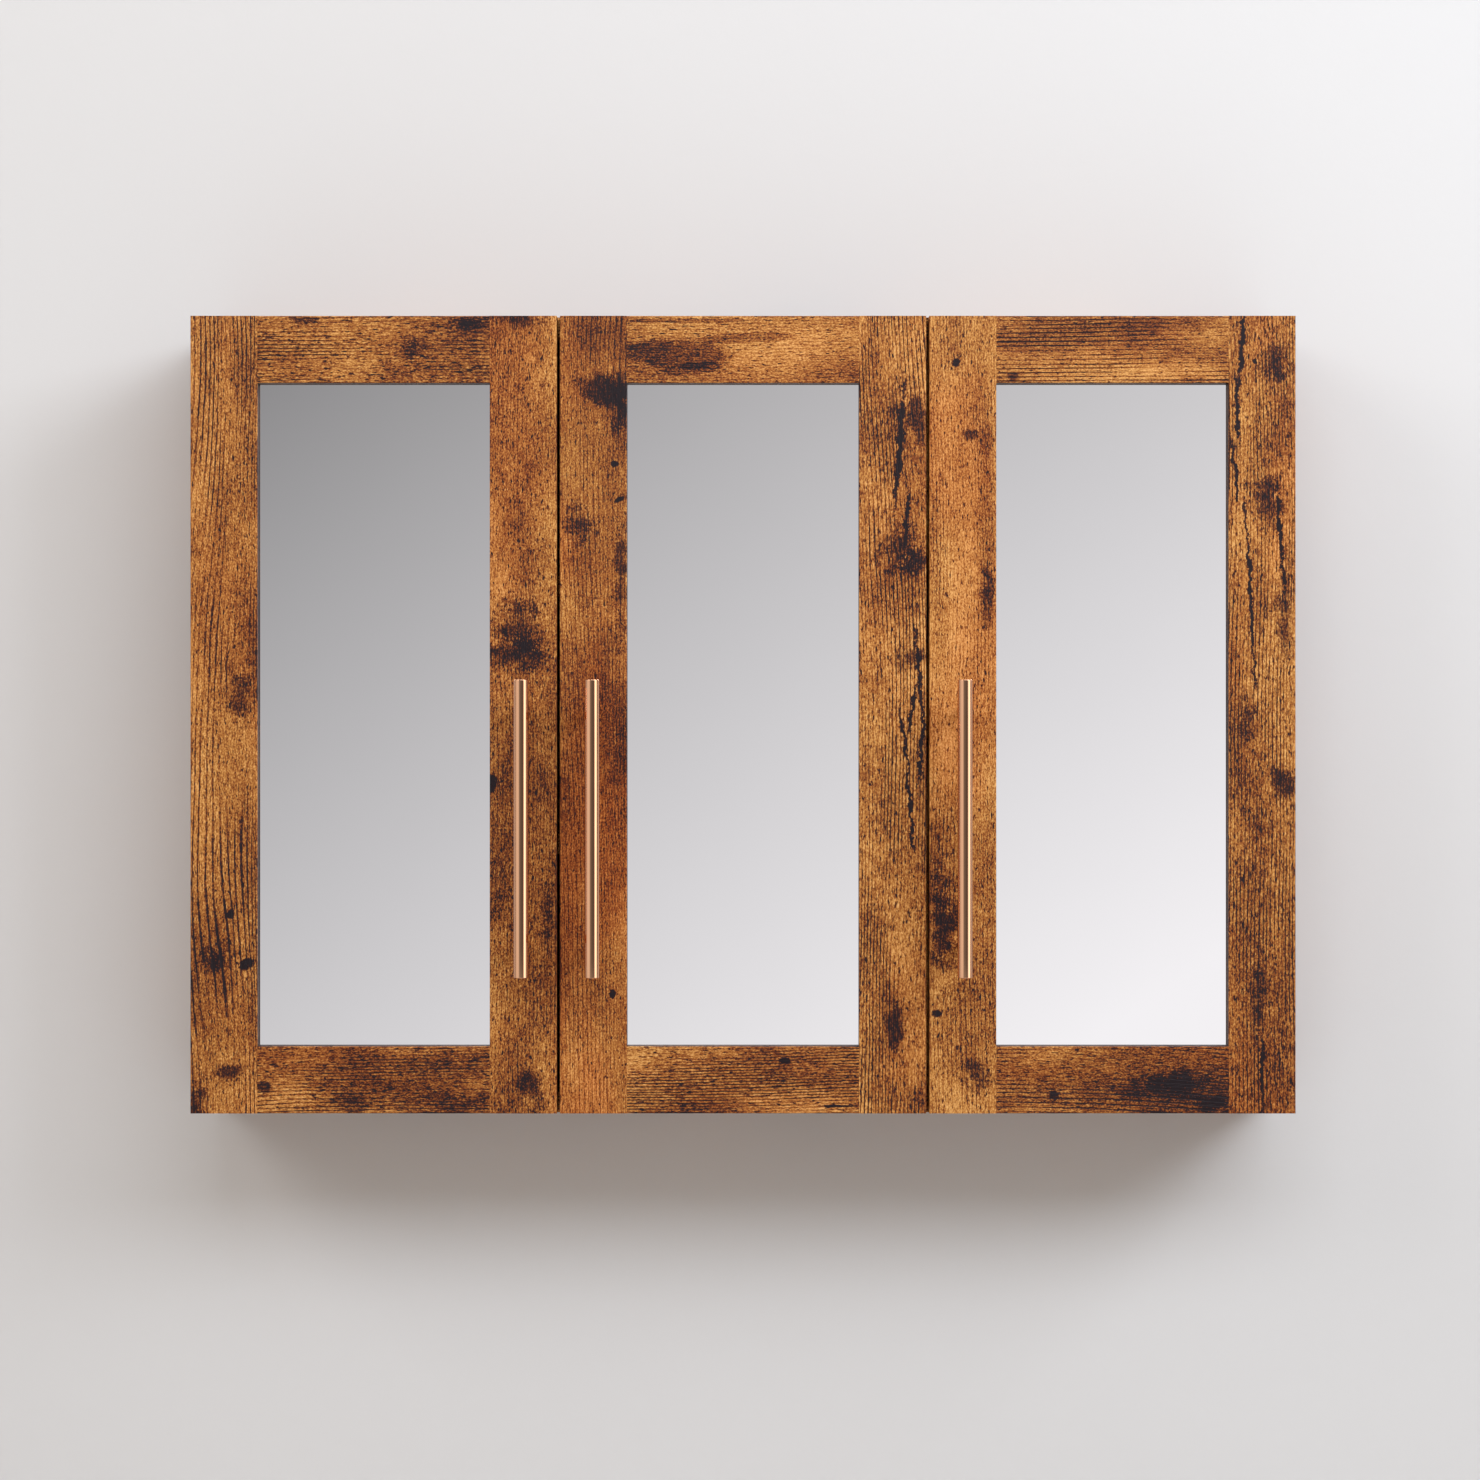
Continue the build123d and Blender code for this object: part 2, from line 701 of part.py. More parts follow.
def hinge_hole_cutters():
    """The screw holes of every mounting plate, in place."""
    return [hole for door in doors for place in at_hinges(plate_screw_holes, door)
            for hole in place.solids()]


def make_box():
    """The panels, rails, shelves and fittings of the box."""
    joints = cam_solids(cam_clearance) + bolt_solids(bolt_clearance) + dowel_solids(dowel_clearance)
    tools = joints + pin_holes() + hinge_hole_cutters() + [back_grooves()]
    for name, side in (("left_side_panel", -1), ("right_side_panel", 1)):
        x0, x1 = side * half_width, side * inner_half_width
        panel = block(x0, x1, front_y, 0, bottom_z, top_z)
        panel -= edge_cutter(side, -1, bottom_z - overshoot, top_z + overshoot, x0, front_y,
                             panel_edge_round)
        save(name, cut(panel, tools))
    for name, z0, z1 in (("top_panel", inner_top_z, top_z), ("bottom_panel", bottom_z, inner_bottom_z)):
        save(name, cut(block(-inner_half_width, inner_half_width, front_y, 0, z0, z1), tools))
    divider = block(divider_left_x, divider_right_x, front_y, groove_front_y,
                    inner_bottom_z, inner_top_z)
    save("divider_panel", cut(divider, tools))

    seat = back_groove_depth - back_clearance
    back = block(-inner_half_width - seat, inner_half_width + seat, back_panel_rear_y,
                 back_panel_front_y, inner_bottom_z - seat, inner_top_z + seat)
    rail_top = block(-inner_half_width, inner_half_width, 0, -rail_thickness,
                     inner_top_z - rail_height, inner_top_z)
    rail_bottom = block(-inner_half_width, inner_half_width, 0, -rail_thickness,
                        inner_bottom_z, inner_bottom_z + rail_height)
    for side in (-1, 1):
        hole = rod("y", wall_screw_radius, overshoot, back_panel_front_y - overshoot,
                   side * wall_screw_spacing / 2, 0)
        back -= hole
        rail_top -= hole
    save("back_panel", back)
    save("hanging_rail", rail_top)
    save("lower_rail", rail_bottom)

    for bay in bays:
        for bottom, level in zip(shelf_bottoms, shelf_names):
            shelf = block(bay["x0"] + shelf_end_clearance, bay["x1"] - shelf_end_clearance,
                          shelf_rear_y, shelf_front_y, bottom, bottom + shelf_thickness)
            save(f"{bay['name']}_shelf_{level}", shelf)
    pins = []
    for bay in bays:
        for face_x, into in ((bay["x0"], -1), (bay["x1"], 1)):
            for bottom in shelf_bottoms:
                for y in pin_depths:
                    pins.append(rod("x", pin_radius, face_x + into * pin_seat_depth,
                                    face_x - into * pin_reach, y, bottom - pin_radius))
    save("shelf_pins", pins)
    save("cam_locks", cam_solids(0))
    save("cam_bolts", bolt_solids(0))
    save("dowels", dowel_solids(0))

    bumpers = [rod("y", bumper_radius, front_y, front_y - bumper_height, door["bumper_x"],
                   panel_middle_z(level)) for door in doors for level in (-1, 1)]
    save("door_bumpers", bumpers)
    save("hinge_arms", [arm for door in doors for arm in at_hinges(hinge_arm, door)])
    save("hinge_plates", [plate for door in doors for plate in at_hinges(mounting_plate, door)])
    save("plate_screws", [screw for door in doors for screw in at_hinges(plate_screws, door)])


os.makedirs("parts", exist_ok=True)
make_box()
for door in doors:
    make_door(door)

print("the hinge links turn by", round(link_ratio, 5), "of the door's angle")
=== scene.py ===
import math

import bmesh
import bpy
from mathutils import Matrix, Vector


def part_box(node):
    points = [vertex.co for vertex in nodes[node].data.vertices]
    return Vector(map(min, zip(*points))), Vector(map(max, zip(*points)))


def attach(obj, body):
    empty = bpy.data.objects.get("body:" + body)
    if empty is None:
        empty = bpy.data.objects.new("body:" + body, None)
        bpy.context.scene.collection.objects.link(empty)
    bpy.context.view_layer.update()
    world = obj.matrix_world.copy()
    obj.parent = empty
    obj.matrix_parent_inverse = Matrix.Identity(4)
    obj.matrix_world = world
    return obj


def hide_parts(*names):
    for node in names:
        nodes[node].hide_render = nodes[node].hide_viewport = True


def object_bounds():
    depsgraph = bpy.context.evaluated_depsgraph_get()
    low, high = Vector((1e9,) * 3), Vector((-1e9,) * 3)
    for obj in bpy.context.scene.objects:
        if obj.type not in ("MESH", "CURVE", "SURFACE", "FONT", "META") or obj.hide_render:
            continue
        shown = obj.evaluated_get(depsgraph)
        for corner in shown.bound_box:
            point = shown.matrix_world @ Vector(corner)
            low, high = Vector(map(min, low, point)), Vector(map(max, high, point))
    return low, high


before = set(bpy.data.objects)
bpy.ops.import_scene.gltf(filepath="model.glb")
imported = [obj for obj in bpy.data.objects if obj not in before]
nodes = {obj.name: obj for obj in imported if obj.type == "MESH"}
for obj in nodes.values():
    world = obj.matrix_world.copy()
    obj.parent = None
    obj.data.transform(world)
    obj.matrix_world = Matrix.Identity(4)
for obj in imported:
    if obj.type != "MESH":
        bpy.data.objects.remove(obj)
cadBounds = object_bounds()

mm = 0.001
cabinetLow, cabinetHigh = cadBounds
doorNames = ["left_door", "middle_door", "right_door"]
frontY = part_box("left_door_top_rail")[0].y  # the doors' front face
print("frame loaded:", len(nodes), "nodes")


# Small helpers for node trees
def addNode(tree, kind, inputs=None, **settings):
    node = tree.nodes.new(kind)
    for key, value in settings.items():
        setattr(node, key, value)
    for key, value in (inputs or {}).items():
        if isinstance(value, bpy.types.NodeSocket):
            tree.links.new(value, node.inputs[key])
        else:
            node.inputs[key].default_value = value
    return node


def mathNode(tree, operation, a, b=0.0, c=0.0, clamp=False):
    inputs = {0: a, 1: b, 2: c} if operation == "MULTIPLY_ADD" else {0: a, 1: b}
    return addNode(tree, "ShaderNodeMath", inputs, operation=operation, use_clamp=clamp).outputs[0]


def vectorNode(tree, operation, a, b):
    return addNode(tree, "ShaderNodeVectorMath", {0: a, 1: b}, operation=operation).outputs[0]


def noiseNode(tree, vector, scale=1.0, detail=2.0, roughness=0.5):
    inputs = {"Vector": vector, "Scale": scale, "Detail": detail, "Roughness": roughness}
    return addNode(tree, "ShaderNodeTexNoise", inputs).outputs["Fac"]


def rangeNode(tree, value, low, high, toLow=0.0, toHigh=1.0):
    inputs = {"Value": value, 1: low, 2: high, 3: toLow, 4: toHigh}
    return addNode(tree, "ShaderNodeMapRange", inputs, interpolation_type="SMOOTHSTEP").outputs[0]


def mixColour(tree, factor, a, b, blend="MIX"):
    node = addNode(tree, "ShaderNodeMix", {0: factor, 6: a, 7: b}, data_type="RGBA", blend_type=blend)
    return node.outputs[2]


def rampNode(tree, value, stops):
    node = addNode(tree, "ShaderNodeValToRGB", {"Fac": value})
    ramp = node.color_ramp
    while len(ramp.elements) < len(stops):
        ramp.elements.new(0.5)
    for element, (place, colour) in zip(ramp.elements, stops):
        element.position = place
        element.color = (*colour, 1)
    return node.outputs["Color"]


def newMaterial(name):
    material = bpy.data.materials.new(name)
    material.use_nodes = True
    tree = material.node_tree
    coords = addNode(tree, "ShaderNodeTexCoord").outputs["Object"]
    return material, tree, tree.nodes["Principled BSDF"], coords


def bumpInto(tree, shader, height, distance, strength=1.0):
    bump = addNode(tree, "ShaderNodeBump", {"Height": height, "Distance": distance, "Strength": strength})
    tree.links.new(bump.outputs["Normal"], shader.inputs["Normal"])


# Rustic wood foil. Sizes in metres; grain goes along, rings and pores across
grain = {
    "ringPitch": 0.0031,        # from one dark growth line to the next
    "wander": 0.050,            # how far the lines swing over a board's length
    "ripple": 0.0026,           # how far they wave over a few centimetres
    "pitchShake": 0.0034,       # how unevenly the lines are spaced
    "depthSlope": 0.8,          # how far the lines move across as they go into the board
    "lineEdge": (0.66, 1.0),
    "lineShare": (0.36, 0.62, 0.12, 1.0),
    "poreEdge": (0.60, 0.70),
    "lineContrast": 0.44,
    "fibreContrast": 0.55,
    "speckleContrast": 1.30,
    "blotchContrast": 0.80,
    "poreContrast": 0.52,
    "fibreHeight": 0.6,
    "embossDepth": 0.00022,
    "roughness": (0.62, 0.44),  # in the pores, on the fibres
    "gloss": 0.16,
    "redFrom": 0.40,
    "redFull": 0.62,
    "redTint": (0.94, 0.66, 0.57),
    "seedStep": (1.37, 0.71, 2.11),
}
# waves a metre across the grain and along it, detail, roughness
grainNoises = {
    "wander": (7, 1.5, 1.5, 0.5), "ripple": (45, 9, 2, 0.5), "uneven": (110, 2.5, 2, 0.5),
    "lineShare": (38, 7, 2, 0.5), "fibre": (900, 105, 2, 0.65), "speckle": (980, 560, 1, 0.7),
    "pores": (820, 190, 1, 0.5), "blotch": (17, 6.5, 5, 0.62), "warmth": (11, 4.5, 3, 0.55),
}
woodPalette = {                 # linear colours, dark to light
    "ink": (0.014, 0.009, 0.012),
    "umber": (0.105, 0.024, 0.008),
    "brown": (0.240, 0.070, 0.017),
    "amber": (0.355, 0.138, 0.030),
    "honey": (0.525, 0.242, 0.064),
    "straw": (0.730, 0.400, 0.138),
}


def makeGrainGroup():
    group = bpy.data.node_groups.new("woodGrain", "ShaderNodeTree")
    for name, kind in (("Place", "NodeSocketVector"), ("Line contrast", "NodeSocketFloat"),
                       ("Blotches", "NodeSocketFloat"), ("Wildness", "NodeSocketFloat")):
        group.interface.new_socket(name, in_out="INPUT", socket_type=kind)
    for name in ("Tone", "Height", "Warmth"):
        group.interface.new_socket(name, in_out="OUTPUT", socket_type="NodeSocketFloat")
    start = addNode(group, "NodeGroupInput").outputs
    place = start["Place"]

    def noise(key):
        across, along, detail, roughness = grainNoises[key]
        stretched = vectorNode(group, "MULTIPLY", place, (across, across, along))
        return noiseNode(group, stretched, detail=detail, roughness=roughness)

    split = addNode(group, "ShaderNodeSeparateXYZ", {0: place}).outputs
    swing = mathNode(group, "MULTIPLY", mathNode(group, "SUBTRACT", noise("wander"), 0.5), grain["wander"])
    swing = mathNode(group, "MULTIPLY", swing, start["Wildness"])
    wave = mathNode(group, "MULTIPLY", mathNode(group, "SUBTRACT", noise("ripple"), 0.5), grain["ripple"])
    across = mathNode(group, "ADD", mathNode(group, "ADD", split[0], swing), wave)
    across = mathNode(group, "ADD", across, mathNode(group, "MULTIPLY", split[1], grain["depthSlope"]))
    across = mathNode(group, "MULTIPLY_ADD", noise("uneven"), grain["pitchShake"], across)
    phase = mathNode(group, "MULTIPLY", across, 2 * math.pi / grain["ringPitch"])
    rings = mathNode(group, "MULTIPLY_ADD", mathNode(group, "SINE", phase), 0.5, 0.5)
    darkLine = mathNode(group, "MULTIPLY", rangeNode(group, rings, *grain["lineEdge"]),
                        rangeNode(group, noise("lineShare"), *grain["lineShare"]))
    fibre = noise("fibre")
    pores = rangeNode(group, noise("pores"), *grain["poreEdge"])

    def centred(value, strength):
        return mathNode(group, "MULTIPLY", mathNode(group, "SUBTRACT", value, 0.5), strength)

    blotchPart = mathNode(group, "MULTIPLY", centred(noise("blotch"), grain["blotchContrast"] * 2),
                          start["Blotches"])
    tone = mathNode(group, "ADD", centred(fibre, grain["fibreContrast"] * 2), blotchPart)
    tone = mathNode(group, "ADD", tone, centred(noise("speckle"), grain["speckleContrast"]))
    line = mathNode(group, "MULTIPLY", darkLine, start["Line contrast"])
    tone = mathNode(group, "SUBTRACT", tone, mathNode(group, "MULTIPLY", line, grain["lineContrast"]))
    tone = mathNode(group, "SUBTRACT", tone, mathNode(group, "MULTIPLY", pores, grain["poreContrast"]))
    height = mathNode(group, "SUBTRACT", mathNode(group, "MULTIPLY", fibre, grain["fibreHeight"]), line)
    height = mathNode(group, "SUBTRACT", height, pores)
    end = addNode(group, "NodeGroupOutput")
    group.links.new(tone, end.inputs["Tone"])
    group.links.new(height, end.inputs["Height"])
    group.links.new(noise("warmth"), end.inputs["Warmth"])
    return group


# scale, detail, roughness
markNoises = {"fine": (480, 2, 0.7), "coarse": (85, 2, 0.5), "jagged": (130, 3, 0.7)}


def makeMarkGroup():
    # a ragged spot or streak in the board's face: 1 inside, 0 outside
    group = bpy.data.node_groups.new("woodMark", "ShaderNodeTree")
    for name, kind in (("Place", "NodeSocketVector"), ("Centre", "NodeSocketVector"),
                       ("Half size", "NodeSocketVector"), ("Turn", "NodeSocketVector"),
                       ("Softness", "NodeSocketFloat"), ("Ragged", "NodeSocketFloat"),
                       ("Wobble", "NodeSocketFloat")):
        group.interface.new_socket(name, in_out="INPUT", socket_type=kind)
    group.interface.new_socket("Mask", in_out="OUTPUT", socket_type="NodeSocketFloat")
    start = addNode(group, "NodeGroupInput").outputs
    fine, coarse, jagged = [
        mathNode(group, "SUBTRACT", noiseNode(group, start["Place"], *markNoises[key]), 0.5)
        for key in ("fine", "coarse", "jagged")]
    local = vectorNode(group, "SUBTRACT", start["Place"], start["Centre"])
    aside = mathNode(group, "MULTIPLY", jagged, start["Wobble"])
    local = vectorNode(group, "ADD", local, addNode(group, "ShaderNodeCombineXYZ", {0: aside}).outputs[0])
    rotate = addNode(group, "ShaderNodeVectorRotate", {"Vector": local, "Rotation": start["Turn"]},
                     rotation_type="EULER_XYZ").outputs[0]
    local = vectorNode(group, "DIVIDE", rotate, start["Half size"])
    local = vectorNode(group, "MULTIPLY", local, (1, 0, 1))
    distance = addNode(group, "ShaderNodeVectorMath", {0: local}, operation="LENGTH").outputs["Value"]
    shake = mathNode(group, "ADD", fine, coarse)
    shaken = mathNode(group, "MULTIPLY_ADD", shake, start["Ragged"], distance)
    inner = mathNode(group, "SUBTRACT", 1.0, start["Softness"])
    outer = mathNode(group, "ADD", 1.0, start["Softness"])
    mask = rangeNode(group, shaken, outer, inner)
    end = addNode(group, "NodeGroupOutput")
    group.links.new(mask, end.inputs["Mask"])
    return group


grainGroup = makeGrainGroup()
markGroup = makeMarkGroup()

# What a mark looks like: how much lighter or darker the wood turns, how much ink lies over it,
# and how soft and ragged its edge is
markKinds = {
    "knot": {"shift": -0.42, "ink": 0.32, "softness": 0.40, "ragged": 1.3, "wobble": 0.004},
    "smudge": {"shift": -0.38, "ink": 0.30, "softness": 0.95, "ragged": 3.6, "wobble": 0.006},
    "shade": {"shift": -0.21, "ink": 0.0, "softness": 0.95, "ragged": 2.0, "wobble": 0.0},
    "crack": {"shift": -0.80, "ink": 0.70, "softness": 0.35, "ragged": 1.4, "wobble": 0.011},
    "speck": {"shift": -0.70, "ink": 0.65, "softness": 0.30, "ragged": 0.9, "wobble": 0.003},
    "rust": {"shift": -0.15, "ink": 0.0, "softness": 0.70, "ragged": 1.6, "wobble": 0.0},
    "glow": {"shift": 0.17, "ink": 0.0, "softness": 0.85, "ragged": 1.8, "wobble": 0.0},
    "flame": {"shift": -0.27, "ink": 0.0, "softness": 0.07, "ragged": 0.45, "wobble": 0.010},
}
# painted shade in the recess round a mirror: where it starts behind the face, and how far it reaches
mirrorRecessShade = {"starts": 0.0008, "full": 0.0018, "reach": 0.0009, "strength": 0.85}
rampStops = [(0.0, "ink"), (0.18, "umber"), (0.36, "brown"), (0.52, "amber"), (0.72, "honey"),
             (1.0, "straw")]


def makeWood(name, board, marks=()):
    # a board has a direction along, a seed and a tone, and strengths of lines, blotches and so on
    material, tree, shader, coords = newMaterial(name)
    split = addNode(tree, "ShaderNodeSeparateXYZ", {0: coords}).outputs
    order = (2, 1, 0) if board["along"] == "x" else (0, 1, 2)
    turned = addNode(tree, "ShaderNodeCombineXYZ", {i: split[j] for i, j in enumerate(order)}).outputs[0]
    place = vectorNode(tree, "ADD", turned, [board["seed"] * step for step in grain["seedStep"]])
    cells = addNode(tree, "ShaderNodeGroup", {}, node_tree=grainGroup)
    tree.links.new(place, cells.inputs["Place"])
    cells.inputs["Line contrast"].default_value = board.get("lines", 1.0)
    cells.inputs["Blotches"].default_value = board.get("blotches", 1.0)
    cells.inputs["Wildness"].default_value = board.get("wildness", 1.0)
    tone = mathNode(tree, "ADD", cells.outputs["Tone"], board["tone"])
    ink = 0.0
    for mark in marks:
        kind = markKinds[mark[0]]
        x, down, halfWide, halfHigh = [value * mm for value in mark[1:5]]
        centre = (cabinetLow.x + x, 0, cabinetHigh.z - down)
        turn = math.radians(mark[5]) if len(mark) > 5 else 0
        spot = addNode(tree, "ShaderNodeGroup", {}, node_tree=markGroup)
        tree.links.new(coords, spot.inputs["Place"])
        spot.inputs["Centre"].default_value = centre
        spot.inputs["Half size"].default_value = (halfWide, 1, halfHigh)
        spot.inputs["Turn"].default_value = (0, turn, 0)
        spot.inputs["Softness"].default_value = kind["softness"]
        spot.inputs["Ragged"].default_value = kind["ragged"]
        spot.inputs["Wobble"].default_value = kind["wobble"]
        tone = mathNode(tree, "MULTIPLY_ADD", spot.outputs["Mask"], kind["shift"], tone)
        if kind["ink"] > 0:
            stain = mathNode(tree, "MULTIPLY", spot.outputs["Mask"], kind["ink"])
            ink = mathNode(tree, "MAXIMUM", stain, ink)
    colour = rampNode(tree, tone, [(at, woodPalette[key]) for at, key in rampStops])
    colour = mixColour(tree, ink, colour, (*woodPalette["ink"], 1))
    redness = rangeNode(tree, cells.outputs["Warmth"], grain["redFrom"], grain["redFull"], 0.0,
                        board.get("red", 0.5))
    redder = mixColour(tree, 1.0, colour, (*grain["redTint"], 1), "MULTIPLY")
    colour = mixColour(tree, redness, colour, redder)
    if "inner" in board:
        # painted shade: the recess faces round the mirror are darkened towards the darkest wood colour, as
        # shade falls there
        axis, edge = board["inner"]
        away = mathNode(tree, "ABSOLUTE", mathNode(tree, "SUBTRACT", split[axis], edge))
        deep = rangeNode(tree, split[1], frontY + mirrorRecessShade["starts"], frontY + mirrorRecessShade["full"])
        recessShade = mathNode(tree, "MULTIPLY", rangeNode(tree, away, mirrorRecessShade["reach"], 0.0), deep)
        recessShade = mathNode(tree, "MULTIPLY", recessShade, mirrorRecessShade["strength"])
        colour = mixColour(tree, recessShade, colour, (*woodPalette["ink"], 1))
    tree.links.new(colour, shader.inputs["Base Color"])
    rough = rangeNode(tree, cells.outputs["Height"], -1.0, grain["fibreHeight"], *grain["roughness"])
    tree.links.new(rough, shader.inputs["Roughness"])
    shader.inputs["Specular IOR Level"].default_value = grain["gloss"]
    bumpInto(tree, shader, cells.outputs["Height"], grain["embossDepth"])
    return material


# The doors' boards. Marks: kind, mm from the doors' left edge, mm from their top, half width,
# half height, and a turn in degrees
boards = {
    "left_door_hinge_stile": {
        "along": "z", "seed": 1, "tone": 0.56, "lines": 1.25, "wildness": 2.2, "red": 0.3, "blotches": 0.8,
        "marks": [("shade", 40, 35, 18, 30), ("rust", 4, 182, 6, 18), ("smudge", 41, 308, 7, 16),
                  ("speck", 46, 528, 6, 4, 30), ("shade", 22, 545, 22, 40), ("speck", 34, 487, 3, 4),
                  ("knot", 32, 615, 10, 6), ("smudge", 6, 638, 6, 12), ("smudge", 22, 520, 8, 9),
                  ("rust", 53, 575, 4, 26)]},
    "left_door_top_rail": {
        "along": "x", "seed": 2, "tone": 0.51, "lines": 1.25, "red": 0.15, "blotches": 0.7,
        "marks": [("shade", 205, 36, 34, 16), ("shade", 232, 10, 16, 10), ("smudge", 92, 4, 6, 3),
                  ("smudge", 228, 7, 7, 4), ("smudge", 182, 26, 6, 6), ("shade", 165, 50, 30, 7)]},
    "left_door_bottom_rail": {
        "along": "x", "seed": 3, "tone": 0.5, "lines": 1.0, "red": 0.4,
        "marks": [("knot", 61, 628, 6, 4), ("smudge", 130, 639, 10, 6), ("shade", 215, 640, 28, 8),
                  ("glow", 85, 629, 13, 8), ("shade", 190, 606, 40, 6)]},
    "left_door_handle_stile": {
        "along": "z", "seed": 4, "tone": 0.49, "lines": 0.45, "red": 0.45, "blotches": 1.0,
        "marks": [("glow", 262, 40, 14, 30), ("shade", 288, 20, 5, 26), ("smudge", 272, 4, 16, 5),
                  ("shade", 278, 208, 16, 26), ("smudge", 268, 252, 12, 14),
                  ("smudge", 263, 277, 18, 10), ("shade", 270, 268, 24, 26),
                  ("speck", 246, 381, 3, 7), ("shade", 258, 470, 14, 34), ("smudge", 292, 492, 3, 16),
                  ("smudge", 278, 628, 7, 12), ("shade", 270, 560, 24, 80)]},
    "middle_door_handle_stile": {
        "along": "z", "seed": 5, "tone": 0.49, "lines": 0.6, "red": 0.8, "blotches": 0.75,
        "marks": [("shade", 322, 15, 20, 22), ("knot", 336, 62, 20, 11, -24),
                  ("smudge", 350, 76, 6, 16), ("speck", 346, 121, 3, 2.5),
                  ("speck", 350, 150, 4, 2, 35), ("smudge", 315, 169, 8, 9),
                  ("smudge", 351, 218, 4, 32), ("shade", 318, 200, 10, 24),
                  ("speck", 344, 552, 2.5, 3.5), ("glow", 315, 610, 10, 36),
                  ("shade", 330, 330, 24, 60)]},
    "middle_door_top_rail": {
        "along": "x", "seed": 6, "tone": 0.53, "lines": 0.35, "red": 0.25, "blotches": 0.7,
        "marks": [("flame", 400, 5, 56, 1.6), ("flame", 396, 32, 40, 12, -3),
                  ("flame", 452, 19, 42, 4.2, 3), ("flame", 410, 44, 24, 5, 6),
                  ("rust", 372, 38, 24, 14), ("shade", 540, 48, 34, 8, -10),
                  ("glow", 490, 36, 34, 12), ("glow", 520, 14, 40, 8)]},
    "middle_door_bottom_rail": {
        "along": "x", "seed": 7, "tone": 0.52, "lines": 1.6, "red": 0.3, "wildness": 1.6,
        "marks": [("speck", 484, 606, 4, 2), ("shade", 520, 622, 36, 10),
                  ("crack", 526, 643, 16, 1)]},
    "middle_door_hinge_stile": {
        "along": "z", "seed": 8, "tone": 0.61, "lines": 1.5, "red": 0.25, "wildness": 1.7,
        "marks": [("knot", 592, 82, 7, 20, 10), ("crack", 577, 110, 2.2, 44, -4),
                  ("smudge", 578, 84, 5, 14), ("crack", 583, 166, 1.6, 22, -3),
                  ("smudge", 578, 189, 14, 12), ("smudge", 590, 196, 9, 8),
                  ("shade", 572, 225, 22, 26), ("crack", 593, 290, 1.8, 34, 6),
                  ("crack", 588, 318, 1.6, 26, -10), ("crack", 581, 345, 1.4, 24, 8),
                  ("crack", 595, 350, 1.5, 30, -4), ("smudge", 588, 278, 9, 7),
                  ("knot", 574, 578, 7, 17), ("shade", 588, 450, 28, 66), ("shade", 590, 640, 12, 14),
                  ("crack", 586, 400, 1.2, 30, 4)]},
    "right_door_handle_stile": {
        "along": "z", "seed": 9, "tone": 0.64, "lines": 0.6, "red": 0.55, "blotches": 0.8,
        "marks": [("speck", 623, 39, 3, 3.5), ("knot", 634, 98, 6, 4), ("shade", 648, 110, 4, 26),
                  ("rust", 648, 178, 7, 54), ("smudge", 649, 228, 4, 20), ("smudge", 613, 497, 9, 26),
                  ("speck", 607, 568, 4, 3), ("smudge", 638, 617, 8, 8), ("glow", 614, 130, 10, 70),
                  ("rust", 610, 250, 7, 34), ("shade", 612, 500, 14, 50), ("shade", 632, 590, 28, 72),
                  ("rust", 630, 430, 26, 46)]},
    "right_door_top_rail": {
        "along": "x", "seed": 10, "tone": 0.62, "lines": 1.3, "red": 0.35,
        "marks": [("shade", 700, 22, 48, 15), ("knot", 669, 50, 4.5, 3), ("glow", 800, 46, 40, 6),
                  ("shade", 790, 8, 44, 6)]},
    "right_door_bottom_rail": {
        "along": "x", "seed": 11, "tone": 0.3, "lines": 0.9, "red": 0.5,
        "marks": [("smudge", 802, 624, 19, 7), ("knot", 703, 635, 5, 4), ("shade", 740, 630, 60, 12),
                  ("smudge", 832, 638, 9, 5)]},
    "right_door_hinge_stile": {
        "along": "z", "seed": 12, "tone": 0.56, "lines": 1.2, "red": 0.55, "blotches": 0.9,
        "marks": [("crack", 855, 28, 1.9, 26, -2), ("crack", 852, 78, 1.6, 28, 2),
                  ("crack", 850, 128, 1.5, 26, 6), ("crack", 862, 225, 1.3, 76, 3),
                  ("crack", 887, 185, 1.3, 46, 4), ("smudge", 883, 40, 8, 11),
                  ("smudge", 876, 152, 9, 14), ("shade", 884, 90, 12, 50),
                  ("smudge", 890, 240, 5, 30), ("knot", 889, 380, 9, 12, 20),
                  ("smudge", 869, 554, 4, 26), ("crack", 872, 617, 1.3, 30),
                  ("smudge", 858, 330, 6, 12), ("shade", 868, 560, 30, 110),
                  ("speck", 866, 38, 2, 2)]},
}
leftStiles = ("left_door_hinge_stile", "middle_door_handle_stile", "right_door_handle_stile")
for nodeName, board in boards.items():
    low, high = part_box(nodeName)
    if board["along"] == "x":
        board["inner"] = (2, low.z if nodeName.endswith("top_rail") else high.z)
    else:
        board["inner"] = (0, high.x if nodeName in leftStiles else low.x)
    nodes[nodeName].data.materials.clear()
    nodes[nodeName].data.materials.append(makeWood(nodeName + "_foil", board, board["marks"]))
print("door boards finished:", len(boards))

# The box: the same foil on plain boards
carcass = {
    "left_side_panel": {"along": "z", "seed": 21, "tone": 0.50, "lines": 1.1},
    "right_side_panel": {"along": "z", "seed": 22, "tone": 0.50, "lines": 1.1},
    "divider_panel": {"along": "z", "seed": 23, "tone": 0.50},
    "top_panel": {"along": "x", "seed": 24, "tone": 0.50},
    "bottom_panel": {"along": "x", "seed": 25, "tone": 0.50},
    "wide_shelf_lower": {"along": "x", "seed": 26, "tone": 0.52},
    "wide_shelf_upper": {"along": "x", "seed": 27, "tone": 0.52},
    "narrow_shelf_lower": {"along": "x", "seed": 28, "tone": 0.52},
    "narrow_shelf_upper": {"along": "x", "seed": 29, "tone": 0.52},
}
for nodeName, board in carcass.items():
    nodes[nodeName].data.materials.clear()
    nodes[nodeName].data.materials.append(makeWood(nodeName + "_foil", board))


